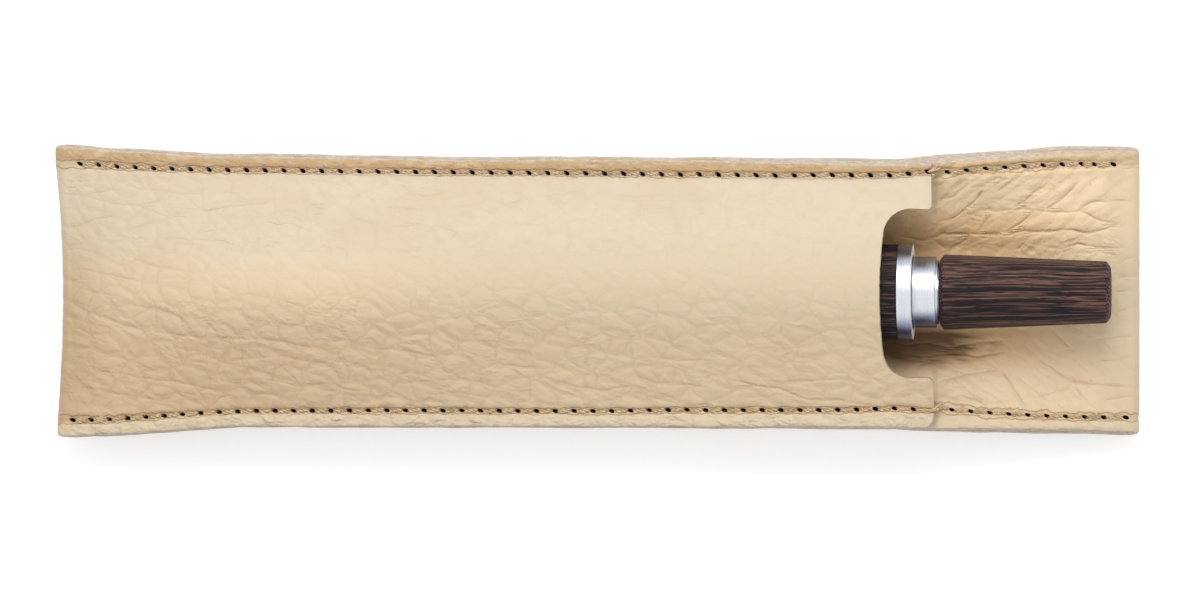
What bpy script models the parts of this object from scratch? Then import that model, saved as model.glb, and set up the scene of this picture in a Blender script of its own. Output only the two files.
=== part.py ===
"""Leather pen case: one folded strip sewn along both long edges, with its pen.

The case lies on its back, +X towards the mouth and the flap end, +Z up, and the origin
is on the surface that it rests on, under the middle of the case. All lengths are metres.
"""
import math

import bpy
import bmesh

# Shared fits
GAP = 0.0003              # between pieces that touch or slide on each other
OVERRUN = 0.004           # how far a cutter stands out of what it cuts

# Leather strip
CASE_LENGTH = 0.1726      # fold to fold, outside
LEATHER = 0.0018
SEAM_HALF = 0.0206        # from the middle line to a seam, along the leather
SEAM_STRETCH = 0.0009     # how much of that the back panel gains where the pen fills it
MARGIN = 0.0024           # from a seam to the cut edge
FLAP_LENGTH = 0.066       # folded in from the flap end
SKIVE_LENGTH = 0.016      # over which the flap's end is thinned
SKIVED_EDGE = 0.0004
MOUTH_DEPTH = 0.0325      # from the flap end to the mouth
SKEW = 0.0002             # half of what the mouth is out of square
CLOSED_END_LIFT = 0.0055  # middle of the back panel over the table at the closed end
FLAP_END_LIFT = 0.0022
DOME_LEAD = 0.0070        # from where the pocket is fully swollen to the pen's barrel
CHANNEL_LEAD = 0.0056     # from where the channel starts to flatten to the mouth
CHANNEL_FALL = 1.1        # how late it flattens, as a power
BOW = 0.0010              # how far the closed end is drawn in at its middle
BOW_FALL = 4              # how fast that fades along the case, as a power
STEP_LENGTH = 0.0060      # over which the front panel climbs over the flap's edge
STEP_LEAD = 0.0010        # from that climb to the flap's edge
FLAT_HALF = 0.0060        # flat part of the back panel, that it rests on
BACK_ROUND = 0.0060
FRONT_ROUND = 0.0115
FRONT_TILT = math.radians(8.5)
FLAP_TILT = math.radians(14)
TILT_LENGTH = 0.0120      # over which the margin's tilt changes at the mouth

# Thumb notch
NOTCH_HALF = 0.0132
NOTCH_DEPTH = 0.0075
NOTCH_ROUND = 0.0042

# Thread
STITCH = 0.0030
THREAD = 0.0006
THREAD_RISE = 0.0002      # middle of a stitch over its ends
SEAM_INSET = 0.0038       # from a fold to the first stitch

# Pen: its nose has room in the closed end, and its ring lies just inside the mouth
NOSE_ROOM = 0.0210        # from the closed end to the nose's tip
RING_INSET = 0.0030       # from the mouth in to the ring
BARREL_BORE = 0.0114
BARREL = 0.0150
BUSH_WALL = 0.0009        # wood left round the rear bush
EDGE = 0.0003             # chamfers of the metal and wooden edges

RING = 0.0152
RING_WIDTH = 0.0023
RING_BUSH_LENGTH = 0.0078
RING_STOP_WIDTH = 0.0068  # the narrow bore behind the neck's recess

NECK = 0.0112
NECK_SHOWN = 0.0037
PRESS = 0.0030            # travel of the knob
GROOVE_WIDTH = 0.0003
GROOVE = 0.0100
SPIGOT = 0.0080
SPIGOT_LENGTH = 0.0171
SPIGOT_BORE = 0.0064
SLEEVE = 0.0102
SLEEVE_REACH = 0.0206     # tube part of the sleeve, in front of the neck
SLEEVE_SEAT = 0.0160      # of which this much takes the push tube

KNOB = 0.0119
KNOB_END = 0.0099
KNOB_LENGTH = 0.0268
KNOB_BEVEL_DEPTH = 0.0006
KNOB_BEVEL_WIDTH = 0.0009
KNOB_RIM = 0.0010
KNOB_BORE_DEPTH = 0.0181

TUBE = 0.0086
LEAD = 0.0056
LEAD_LENGTH = 0.0800
LEAD_TIP = 0.0012
LEAD_SHOWN = 0.0004       # lead in front of the jaws

NOSE_LENGTH = 0.0200
NOSE_TIP = 0.0098
NOSE_WALL = 0.0009
NOSE_BUSH_LENGTH = 0.0080
NOSE_THROAT_LENGTH = 0.0050
NOSE_MOUTH_LENGTH = 0.0040
NOSE_FALL = 1.35          # how late the nose tapers, as a power

COLLAR_WIDTH = 0.0030
COLLAR_PLACE_SHARE = 0.55 # of the way from the nose's bush to the sleeve
SPRING_WIRE = 0.0007
SPRING_TURNS = 10

JAW_STEM = 0.0074
JAW_HEAD = 0.0080
JAW_HEAD_LENGTH = 0.0050
JAW_CREST_SHARE = 0.7     # of the head's length, from the jaws' tip to their widest
JAW_SHOWN = 0.0015        # jaws in front of the nose
JAW_SOCKET = 0.0040       # how far the jaws' spigot sits in the push tube
JAW_SPIGOT = 0.0072
JAW_SLOT = 0.0007
JAW_SLOT_LENGTH = 0.0120
JAW_SLOTS = 3

# Leather's grid: columns as shares of the way from the middle line to a seam, and the most
# that its rows may be apart
COLUMN_SHARES = (0, 0.11, 0.22, 0.29, 0.36, 0.58, 0.80, 1)
DOME_ROWS = 0.0055
POCKET_ROWS = 0.0220
STEP_ROWS = 0.0032
FLAP_ROWS = 0.0098
MOUTH_ROWS = 0.0046

# Worked out from the above
LAYER = LEATHER + GAP
FOLD_RADIUS = LAYER / 2
MERGE = GAP / 30
LIMIT = CASE_LENGTH / 2 - FOLD_RADIUS - LEATHER / 2
MOUTH = CASE_LENGTH / 2 - MOUTH_DEPTH
FLAP_TIP = CASE_LENGTH / 2 - FLAP_LENGTH
STEP_END = FLAP_TIP - STEP_LEAD
STEP_START = STEP_END - STEP_LENGTH
BARREL_FRONT = NOSE_ROOM + NOSE_LENGTH + GAP - CASE_LENGTH / 2
BARREL_REAR = MOUTH - RING_INSET - RING_WIDTH - GAP
DOME_END = BARREL_FRONT - DOME_LEAD
REST_HEIGHT = LEATHER + GAP + BARREL / 2
PITCH_RISE = LAYER / (FLAP_TIP + SKIVE_LENGTH - BARREL_FRONT)


def clear_scene():
    for obj in list(bpy.data.objects):
        bpy.data.objects.remove(obj, do_unlink=True)


def new_collection(name):
    collection = bpy.data.collections.new(name)
    bpy.context.scene.collection.children.link(collection)
    return collection


def new_material(name, colour, roughness, metallic=0):
    material = bpy.data.materials.new(name)
    material.use_nodes = True
    shader = material.node_tree.nodes["Principled BSDF"]
    shader.inputs["Base Color"].default_value = (*colour, 1)
    shader.inputs["Roughness"].default_value = roughness
    shader.inputs["Metallic"].default_value = metallic
    return material


def smooth_step(value):
    value = min(max(value, 0), 1)
    return value * value * (3 - 2 * value)


def pen_height(x):
    """Height of the pen's axis: it lies on the back panel at its front and on the flap's end."""
    return REST_HEIGHT + (x - BARREL_FRONT) * PITCH_RISE


def swell(x):
    """Share of the full depth, 0 at both folds and 1 along most of the pen."""
    if x < 0:
        return 1 - (1 - min((x + LIMIT) / (DOME_END + LIMIT), 1)) ** 2
    return 1 - (1 - min((LIMIT - x) / (LIMIT - MOUTH + CHANNEL_LEAD), 1)) ** CHANNEL_FALL


def flap_thickness(x):
    """Thickness of the inner flap, thinned towards its edge."""
    share = min(max((x - FLAP_TIP) / SKIVE_LENGTH, 0), 1)
    return SKIVED_EDGE + (LEATHER - SKIVED_EDGE) * share


def flap_lift(x):
    """From the middle of the back panel's thickness to the middle of the flap's."""
    return LEATHER / 2 + GAP + flap_thickness(x) / 2


class Panel:
    """One panel's half section: flat, then round, then straight out to the seam."""

    def __init__(self, flat, radius, angle, straight):
        self.flat, self.radius, self.angle, self.straight = flat, radius, angle, straight
        self.length = flat + radius * angle + straight

    def at(self, share):
        """Distance out, distance away from the ridge and slope, at a share of the way to the seam."""
        run = share * self.length
        if run <= self.flat:
            return run, 0, 0
        turn = min((run - self.flat) / self.radius, self.angle)
        rest = run - self.flat - self.radius * turn
        out = self.flat + self.radius * math.sin(turn) + rest * math.cos(turn)
        away = self.radius * (1 - math.cos(turn)) + rest * math.sin(turn)
        return out, away, turn


def panel_by_depth(flat, radius, length, depth):
    """The panel of a given length that reaches a given depth, by halving its slope's range."""
    low, high = 0, math.radians(60)
    for _ in range(40):
        angle = (low + high) / 2
        straight = length - flat - radius * angle
        if radius * (1 - math.cos(angle)) + straight * math.sin(angle) < depth:
            low = angle
        else:
            high = angle
    return Panel(flat, radius, angle, straight)


def panel_by_corner(radius, out, depth):
    """The panel from a round ridge to a corner that far out and that far below it."""
    reach = math.hypot(out, radius - depth)
    angle = math.atan2(out, radius - depth) - math.acos(radius / reach)
    return Panel(0, radius, angle, math.sqrt(reach ** 2 - radius ** 2))


class Section:
    """The leather across the case at one place, by the middle of its thickness."""

    def __init__(self, x):
        self.x = x
        shape = swell(x)
        end_lift = CLOSED_END_LIFT if x < 0 else FLAP_END_LIFT
        self.tilt = FRONT_TILT + (FLAP_TILT - FRONT_TILT) * smooth_step((x - MOUTH) / TILT_LENGTH + 0.5)
        climb = smooth_step((x - STEP_START) / STEP_LENGTH)
        self.stack = LAYER + climb * (GAP + flap_thickness(x))
        full_height = pen_height(x) + BARREL / 2 + GAP
        room = full_height - self.stack * math.cos(self.tilt)
        self.bottom = end_lift + (LEATHER / 2 - end_lift) * shape
        self.back = panel_by_depth(FLAT_HALF, BACK_ROUND, SEAM_HALF + SEAM_STRETCH * shape,
                                   shape * room / 2)
        out, depth, _ = self.back.at(1)
        self.front_seam = (out - self.stack * math.sin(self.tilt),
                           self.bottom + depth + self.stack * math.cos(self.tilt))
        if x < 0:
            self.top = self.front_seam[1] + shape * room / 2
        else:
            self.top = LEATHER / 2 + full_height
        self.front = panel_by_corner(FRONT_ROUND, self.front_seam[0],
                                     self.top - self.front_seam[1])

    def back_point(self, share, lift=0):
        """Place and slopes on the back panel, or on the layer that lies a given lift over it."""
        out, depth, slope = self.back.at(min(share, 1))
        outer = self.tilt if share >= 1 else slope
        if share > 1:
            past = (share - 1) * SEAM_HALF
            out += past * math.cos(self.tilt)
            depth += past * math.sin(self.tilt)
            slope = self.tilt
        mean = (slope + outer) / 2
        lift /= math.cos((slope - outer) / 2)
        return out - lift * math.sin(mean), self.bottom + depth + lift * math.cos(mean), slope, outer

    def front_point(self, share):
        """Place and slopes on the front panel."""
        if share > 1:
            past = (share - 1) * SEAM_HALF
            return (self.front_seam[0] + past * math.cos(self.tilt),
                    self.front_seam[1] + past * math.sin(self.tilt), self.tilt, self.tilt)
        out, depth, slope = self.front.at(share)
        return out, self.top - depth, -slope, self.tilt if share == 1 else -slope


def spread(start, end, marks, spacing):
    """Places from start to end and at each mark between, with the most that each stretch allows."""
    places = [start]
    inside = sorted(mark for mark in marks if start < mark[0] < end)
    for place, apart in inside + [(end, spacing)]:
        steps = math.ceil((place - places[-1]) / apart)
        places += [places[-1] + (place - places[-1]) * (i + 1) / steps for i in range(steps)]
    return places


def leather_rows():
    """The strip's rows from the mouth round both folds to the flap's tip, as functions of a share."""
    pocket = spread(-LIMIT, MOUTH, [
        (DOME_END, DOME_ROWS), (STEP_START, POCKET_ROWS), (STEP_END, STEP_ROWS),
        (FLAP_TIP, STEP_ROWS), (FLAP_TIP + SKIVE_LENGTH, FLAP_ROWS),
        (MOUTH - CHANNEL_LEAD, FLAP_ROWS)], MOUTH_ROWS)
    channel = spread(MOUTH, LIMIT, [], MOUTH_ROWS)
    turns = [math.pi * i / 4 for i in range(1, 4)]

    def panel_row(x, point):
        section = Section(x)
        return lambda share: (x, *point(section, share)[:2])

    def fold_row(x, side, turn, upper):
        section = Section(x)

        def place(share):
            y_low, z_low = section.back_point(share)[:2]
            y_high, z_high = upper(section, share)[:2]
            low_share = (1 - math.cos(turn)) / 2 if side > 0 else (1 + math.cos(turn)) / 2
            return (x + side * FOLD_RADIUS * math.sin(turn),
                    y_low + (y_high - y_low) * low_share, z_low + (z_high - z_low) * low_share)
        return place

    def front(section, share):
        return section.front_point(share)

    def back(section, share):
        return section.back_point(share)

    def flap(section, share):
        return section.back_point(share, flap_lift(section.x))

    rows = [panel_row(x, front) for x in reversed(pocket)]
    rows += [fold_row(-LIMIT, -1, turn, front) for turn in turns]
    rows += [panel_row(x, back) for x in pocket + channel[1:]]
    rows += [fold_row(LIMIT, 1, turn, flap) for turn in turns]
    flap_places = [x for x in pocket if x >= FLAP_TIP][:-1] + channel
    rows += [panel_row(x, flap) for x in reversed(flap_places)]
    thin = [flap_thickness(x) / LEATHER for x in reversed(flap_places)]
    return rows, [1] * (len(rows) - len(thin)) + thin


def leather_wrap(parts, cutters):
    """The strip, as a grid laid along its rows and thickened, with the thumb notch cut out."""
    rows, thinning = leather_rows()
    shares = list(COLUMN_SHARES) + [1 + MARGIN / SEAM_HALF]
    half = len(shares) - 1
    mesh = bpy.data.meshes.new("leather_wrap")
    grid = bmesh.new()
    bmesh.ops.create_grid(grid, x_segments=len(rows) - 1, y_segments=2 * half, size=1)
    weights = grid.verts.layers.deform.verify()
    for vert in grid.verts:
        row = round((vert.co.x + 1) / 2 * (len(rows) - 1))
        column = round((vert.co.y + 1) * half) - half
        share = shares[abs(column)]
        x, y, z = rows[row](share)
        y = math.copysign(y, column) if column else 0
        vert[weights][0] = thinning[row]
        inward = max((MOUTH - x) / (MOUTH + LIMIT), 0)
        x += BOW * inward ** BOW_FALL * (1 - min(share, 1) ** 2)
        if row == 0:
            x -= SKEW * y / SEAM_HALF
        vert.co = (x, y, z)
    grid.to_mesh(mesh)
    grid.free()
    wrap = bpy.data.objects.new("leather_wrap", mesh)
    wrap.vertex_groups.new(name="thickness")
    parts.objects.link(wrap)
    mesh.shade_smooth()
    thicken = wrap.modifiers.new("Thickness", 'SOLIDIFY')
    thicken.thickness = LEATHER
    thicken.offset = 0
    thicken.use_even_offset = True
    thicken.vertex_group = "thickness"
    cut = wrap.modifiers.new("Thumb notch", 'BOOLEAN')
    cut.operation = 'DIFFERENCE'
    cut.object = notch_cutter(cutters)
    return wrap


def notch_cutter(cutters):
    """A block through the front panel only, round at the notch's inner corners."""
    section = Section(MOUTH)
    share = NOTCH_HALF / SEAM_HALF
    low = (section.back_point(share, LAYER)[1] + section.front_point(share)[1]) / 2
    high = section.top + OVERRUN
    depth = NOTCH_DEPTH + OVERRUN
    bpy.ops.mesh.primitive_cube_add(size=1)
    block = bpy.context.object
    block.name = "notch_cutter"
    block.location = (MOUTH + OVERRUN - depth / 2, 0, (low + high) / 2)
    for vert in block.data.vertices:
        vert.co = (vert.co.x * depth, vert.co.y * 2 * NOTCH_HALF, vert.co.z * (high - low))
    for collection in list(block.users_collection):
        collection.objects.unlink(block)
    cutters.objects.link(block)
    shape = bmesh.new()
    shape.from_mesh(block.data)
    corners = [edge for edge in shape.edges
               if all(vert.co.x < 0 for vert in edge.verts)
               and edge.verts[0].co.y == edge.verts[1].co.y]
    bmesh.ops.bevel(shape, geom=corners, offset=NOTCH_ROUND, segments=5, profile=0.5,
                    affect='EDGES')
    shape.to_mesh(block.data)
    shape.free()
    block.hide_render = True
    block.display_type = 'WIRE'
    return block


def seam_route(side, under):
    """Points of one thread along one seam, clear of the leather and risen between the stitches."""
    clear = LEATHER / 2 + GAP + THREAD / 2
    first = SEAM_INSET - CASE_LENGTH / 2
    count = math.floor((CASE_LENGTH - 2 * SEAM_INSET) / STITCH + 0.5)
    edge = MOUTH + GAP + THREAD / 2
    route = []

    def add(x, over_front, rise):
        section = Section(x)
        if over_front:
            y, z, slope, outer = section.front_point(1)
        else:
            y, z, slope, outer = section.back_point(1, 0 if under or x < FLAP_TIP else LAYER)
        mean = (slope + outer) / 2
        valley = (outer > slope) != under
        lift = clear / math.cos((outer - slope) / 2) if valley else clear
        lift = (lift + rise) * (-1 if under else 1)
        route.append((x, side * (y - lift * math.sin(mean)), z + lift * math.cos(mean)))

    for i in range(2 * count + 1):
        x = first + i * STITCH / 2
        rise = THREAD_RISE * (i % 2)
        if under:
            add(x, False, rise)
        elif x <= MOUTH - STITCH / 4:
            add(x, True, rise)
        elif x > edge + STITCH / 4:
            if route[-1][0] < MOUTH:
                add(edge + GAP, True, 0)
                add(edge + GAP, False, THREAD_RISE)
            add(x, False, rise)
    return route


def seam_thread(parts, name, side, under):
    """One continuous thread as a thin tube."""
    curve = bpy.data.curves.new(name, 'CURVE')
    curve.dimensions = '3D'
    curve.bevel_depth = THREAD / 2
    curve.bevel_resolution = 0
    curve.use_fill_caps = True
    route = seam_route(side, under)
    spline = curve.splines.new('POLY')
    spline.points.add(len(route) - 1)
    for point, place in zip(spline.points, route):
        point.co = (*place, 1)
    thread = bpy.data.objects.new(name, curve)
    parts.objects.link(thread)
    return thread


def pen_axis(parts):
    """Empty that carries the pen: its own +X is the pen's axis."""
    axis = bpy.data.objects.new("pen_axis", None)
    axis.location = (0, 0, pen_height(0))
    axis.rotation_euler = (0, -math.atan(PITCH_RISE), 0)
    parts.objects.link(axis)
    return axis


def turned(parts, axis, name, profile, steps=24, closed=True):
    """A piece turned about the pen's axis from (place along it, diameter) pairs.

    The pairs run down the outside from the knob's end of the pen to its tip, and back up
    the bore if the piece is hollow.
    """
    mesh = bpy.data.meshes.new(name)
    outline = bmesh.new()
    verts = [outline.verts.new((diameter / 2, 0, place)) for place, diameter in profile]
    for one, other in zip(verts, verts[1:]):
        outline.edges.new((one, other))
    if closed:
        outline.edges.new((verts[-1], verts[0]))
    outline.to_mesh(mesh)
    outline.free()
    piece = bpy.data.objects.new(name, mesh)
    parts.objects.link(piece)
    screw = piece.modifiers.new("Turning", 'SCREW')
    screw.steps = steps
    screw.render_steps = steps
    screw.use_merge_vertices = True
    screw.merge_threshold = MERGE
    screw.use_smooth_shade = True
    piece.parent = axis
    piece.rotation_euler = (0, math.pi / 2, 0)
    return piece


def ring_places():
    """Rear and front faces of the ring."""
    return BARREL_REAR + GAP + RING_WIDTH, BARREL_REAR + GAP


def wooden_barrel(parts, axis):
    seat = BARREL_REAR - RING_BUSH_LENGTH
    return turned(parts, axis, "wooden_barrel", (
        (BARREL_REAR, BARREL - 2 * EDGE), (BARREL_REAR - EDGE, BARREL),
        (BARREL_FRONT + EDGE, BARREL), (BARREL_FRONT, BARREL - 2 * EDGE),
        (BARREL_FRONT, BARREL_BORE), (seat, BARREL_BORE),
        (seat, BARREL - 2 * BUSH_WALL), (BARREL_REAR, BARREL - 2 * BUSH_WALL)), steps=32)


def rear_ring(parts, axis):
    rear, front = ring_places()
    bush_end = front - RING_BUSH_LENGTH
    bush = BARREL - 2 * BUSH_WALL - 2 * GAP
    recess_end = bush_end + RING_STOP_WIDTH
    return turned(parts, axis, "rear_ring", (
        (rear, RING - 2 * EDGE), (rear - EDGE, RING), (front + EDGE, RING),
        (front, RING - 2 * EDGE), (front, bush), (bush_end, bush),
        (bush_end, SLEEVE + 2 * GAP), (recess_end, SLEEVE + 2 * GAP),
        (recess_end, NECK + 2 * GAP), (rear, NECK + 2 * GAP)), steps=32)


def neck_places():
    """Rear and front ends of the neck: pressed home, it stops a gap short of the ring's recess."""
    rear = ring_places()[0] + NECK_SHOWN
    front = ring_places()[1] - RING_BUSH_LENGTH + RING_STOP_WIDTH + GAP + PRESS
    return rear, front


def push_sleeve(parts, axis):
    rear, front = neck_places()
    spigot_start = rear + GROOVE_WIDTH
    spigot_end = spigot_start + SPIGOT_LENGTH
    tube_end = front - SLEEVE_REACH
    return turned(parts, axis, "push_sleeve", (
        (spigot_end, SPIGOT), (spigot_start, SPIGOT), (spigot_start, GROOVE),
        (rear, GROOVE), (rear, NECK - 2 * EDGE), (rear - EDGE, NECK),
        (front, NECK), (front, SLEEVE), (tube_end, SLEEVE),
        (tube_end, TUBE + 2 * GAP), (tube_end + SLEEVE_SEAT, TUBE + 2 * GAP),
        (tube_end + SLEEVE_SEAT, SPIGOT_BORE), (spigot_end, SPIGOT_BORE)))


def push_knob(parts, axis):
    front = neck_places()[0] + GROOVE_WIDTH + GAP
    rear = front + KNOB_LENGTH
    rim = [(rear - KNOB_RIM * (1 - math.sin(turn)), KNOB_END - 2 * KNOB_RIM * (1 - math.cos(turn)))
           for turn in (math.radians(90), math.radians(60), math.radians(30), 0)]
    return turned(parts, axis, "push_knob", (
        (rear, 0), *rim, (front + KNOB_BEVEL_DEPTH, KNOB),
        (front, KNOB - 2 * KNOB_BEVEL_WIDTH), (front, SPIGOT + 2 * GAP),
        (front + KNOB_BORE_DEPTH, SPIGOT + 2 * GAP), (front + KNOB_BORE_DEPTH, 0)),
        steps=32, closed=False)


def tube_places():
    """Rear end of the push tube in the sleeve, and its front end, where the jaws begin."""
    rear = neck_places()[1] - SLEEVE_REACH + SLEEVE_SEAT - GAP
    front = nose_places()[1] - NOSE_WALL
    return rear, front


def push_tube(parts, axis):
    rear, front = tube_places()
    bore = LEAD + 2 * GAP
    return turned(parts, axis, "push_tube", (
        (rear, TUBE), (front, TUBE), (front, JAW_SPIGOT + 2 * GAP),
        (front + JAW_SOCKET + GAP, JAW_SPIGOT + 2 * GAP),
        (front + JAW_SOCKET + GAP, bore), (rear, bore)))


def spring_collar(parts, axis):
    outer = BARREL_BORE - 2 * GAP
    inner = TUBE + 2 * GAP
    front = spring_places()[1]
    rear = front + COLLAR_WIDTH
    return turned(parts, axis, "spring_collar", (
        (rear, outer), (front, outer), (front, inner), (rear, inner)))


def nose_places():
    """Shoulder of the nose cone under the barrel, the shoulder's inner step and the tip."""
    shoulder = BARREL_FRONT - GAP
    return shoulder, shoulder - NOSE_WALL, shoulder - NOSE_LENGTH


def spring_places():
    """Faces that the spring stands between, on the nose cone's bush and on the collar."""
    front = nose_places()[0] + NOSE_BUSH_LENGTH
    room = neck_places()[1] - SLEEVE_REACH - front
    return front, front + room * COLLAR_PLACE_SHARE


def nose_cone(parts, axis):
    shoulder, chamber, tip = nose_places()
    bush_end = shoulder + NOSE_BUSH_LENGTH
    bush = BARREL_BORE - 2 * GAP
    passage = TUBE + 2 * GAP
    mouth = tip + NOSE_MOUTH_LENGTH
    throat = mouth + NOSE_THROAT_LENGTH
    outer = [(shoulder + (tip - shoulder) * share,
              BARREL + (NOSE_TIP - BARREL) * share ** NOSE_FALL)
             for share in (0, 0.25, 0.5, 0.75, 1)]
    return turned(parts, axis, "nose_cone", (
        (bush_end, bush), (shoulder, bush), *outer,
        (tip, JAW_HEAD + 2 * GAP), (mouth, JAW_STEM + 2 * GAP), (throat, JAW_STEM + 2 * GAP),
        (throat, passage + 2 * GAP), (chamber, passage + 2 * GAP), (chamber, passage),
        (bush_end, passage)), steps=32)


def clutch_collet(parts, cutters, axis):
    tip = nose_places()[2] - JAW_SHOWN
    rear = tube_places()[1]
    bore = LEAD + 2 * GAP
    collet = turned(parts, axis, "clutch_collet", (
        (rear + JAW_SOCKET, JAW_SPIGOT), (rear - GAP, JAW_SPIGOT), (rear - GAP, JAW_STEM),
        (tip + JAW_HEAD_LENGTH, JAW_STEM), (tip + JAW_HEAD_LENGTH * JAW_CREST_SHARE, JAW_HEAD),
        (tip, JAW_STEM), (tip, bore), (rear + JAW_SOCKET, bore)))
    for i in range(JAW_SLOTS):
        cut = collet.modifiers.new(f"Slot {i + 1}", 'BOOLEAN')
        cut.operation = 'DIFFERENCE'
        cut.object = jaw_slot_cutter(cutters, axis, tip, math.tau * i / JAW_SLOTS, i + 1)
    return collet


def jaw_slot_cutter(cutters, axis, tip, turn, number):
    """A blade that reaches from the pen's axis out through the jaws on one side."""
    length = JAW_SLOT_LENGTH + OVERRUN
    reach = JAW_HEAD / 2 + OVERRUN
    shape = bmesh.new()
    bmesh.ops.create_cube(shape, size=1)
    for vert in shape.verts:
        vert.co = ((vert.co.x * length + tip - OVERRUN + length / 2),
                   vert.co.y * JAW_SLOT, (vert.co.z + 0.5) * reach)
    mesh = bpy.data.meshes.new(f"jaw_slot_cutter_{number}")
    shape.to_mesh(mesh)
    shape.free()
    blade = bpy.data.objects.new(mesh.name, mesh)
    cutters.objects.link(blade)
    blade.parent = axis
    blade.rotation_euler = (turn, 0, 0)
    blade.hide_render = True
    blade.display_type = 'WIRE'
    return blade


def lead(parts, axis):
    tip = nose_places()[2] - JAW_SHOWN - LEAD_SHOWN
    return turned(parts, axis, "lead", (
        (tip + LEAD_LENGTH, 0), (tip + LEAD_LENGTH, LEAD), (tip + LEAD_TIP, LEAD),
        (tip, LEAD - 2 * LEAD_TIP), (tip, 0)), closed=False)


def clutch_spring(parts, axis):
    """Compression spring between the nose cone's bush and the collar."""
    curve = bpy.data.curves.new("clutch_spring", 'CURVE')
    curve.dimensions = '3D'
    curve.bevel_depth = SPRING_WIRE / 2
    curve.bevel_resolution = 1
    curve.use_fill_caps = True
    seat = GAP + SPRING_WIRE / 2
    start, end = spring_places()[0] + seat, spring_places()[1] - seat
    radius = (BARREL_BORE + TUBE) / 4
    steps = SPRING_TURNS * 10
    spline = curve.splines.new('POLY')
    spline.points.add(steps)
    for i, point in enumerate(spline.points):
        turn = math.tau * SPRING_TURNS * i / steps
        point.co = (start + (end - start) * i / steps,
                    radius * math.cos(turn), radius * math.sin(turn), 1)
    spring = bpy.data.objects.new("clutch_spring", curve)
    parts.objects.link(spring)
    spring.parent = axis
    return spring


def paint(pieces, material):
    for piece in pieces:
        piece.data.materials.append(material)


def build():
    clear_scene()
    parts = new_collection("pen_case")
    cutters = new_collection("cutters")
    paint([leather_wrap(parts, cutters)], new_material("Undyed leather", (0.72, 0.55, 0.37), 0.6))
    paint([seam_thread(parts, "upper_seam_needle_thread", 1, False),
           seam_thread(parts, "upper_seam_bobbin_thread", 1, True),
           seam_thread(parts, "lower_seam_needle_thread", -1, False),
           seam_thread(parts, "lower_seam_bobbin_thread", -1, True)],
          new_material("Waxed linen thread", (0.69, 0.55, 0.38), 0.7))
    axis = pen_axis(parts)
    paint([wooden_barrel(parts, axis), push_knob(parts, axis)],
          new_material("Dark striped wood", (0.07, 0.04, 0.037), 0.5))
    paint([rear_ring(parts, axis), push_sleeve(parts, axis), nose_cone(parts, axis)],
          new_material("Turned aluminium", (0.8, 0.81, 0.82), 0.25, 1))
    paint([push_tube(parts, axis), spring_collar(parts, axis),
           clutch_collet(parts, cutters, axis)],
          new_material("Brass", (0.78, 0.58, 0.26), 0.3, 1))
    paint([clutch_spring(parts, axis)], new_material("Spring steel", (0.6, 0.6, 0.6), 0.35, 1))
    paint([lead(parts, axis)], new_material("Graphite", (0.05, 0.05, 0.055), 0.5))


build()
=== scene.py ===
import math

import bmesh
import bpy
import numpy as np
from mathutils import Matrix, Vector, noise


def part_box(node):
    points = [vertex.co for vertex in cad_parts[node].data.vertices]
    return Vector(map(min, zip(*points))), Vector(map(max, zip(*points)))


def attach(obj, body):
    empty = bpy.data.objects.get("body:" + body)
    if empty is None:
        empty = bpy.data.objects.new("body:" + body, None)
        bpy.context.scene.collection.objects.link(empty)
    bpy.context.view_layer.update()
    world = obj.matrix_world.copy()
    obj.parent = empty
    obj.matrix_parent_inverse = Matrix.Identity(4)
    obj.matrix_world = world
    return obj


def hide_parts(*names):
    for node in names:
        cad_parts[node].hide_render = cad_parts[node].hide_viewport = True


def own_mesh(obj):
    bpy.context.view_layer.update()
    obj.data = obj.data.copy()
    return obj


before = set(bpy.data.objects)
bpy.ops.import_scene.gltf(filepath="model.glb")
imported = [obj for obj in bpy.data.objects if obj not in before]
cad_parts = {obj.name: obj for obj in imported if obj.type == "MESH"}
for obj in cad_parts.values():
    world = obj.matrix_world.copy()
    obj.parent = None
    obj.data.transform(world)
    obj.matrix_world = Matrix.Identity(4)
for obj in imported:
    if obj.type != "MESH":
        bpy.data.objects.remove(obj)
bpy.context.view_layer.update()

# Table, light and camera
# The case lies on a white table under a big soft lamp that stands past its upper seam. The
# camera looks down through a long lens, from a little past the mouth and the upper seam.
LENS = 200
VIEW_WIDTH = 0.1902
VIEW_CENTRE = (0.0011, -0.00136, 0.010)
VIEW_TILT = (math.radians(4.5), math.radians(3.0))
TABLE_GAP = 0.00005
TABLE_SIZE = 3.0
TABLE_WHITE = (0.86, 0.86, 0.865, 1)
TABLE_GLOW = (0.36, 0.36, 0.36, 1)     # lifts the table to white for the camera only
LAMP_PLACE = (0.05, 0.85, 1.00)
LAMP_SIZE = 0.55
LAMP_POWER = 6.2
ZENITH = (1.00, 1.00, 1.00, 1)
LAMP_SIDE = (0.40, 0.41, 0.44, 1)
NEAR_SIDE = (0.10, 0.11, 0.14, 1)
BACKDROP = (1.0, 1.0, 1.0, 1)
BACKDROP_LOW = (0.42, 0.46, 0.56, 1)


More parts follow.
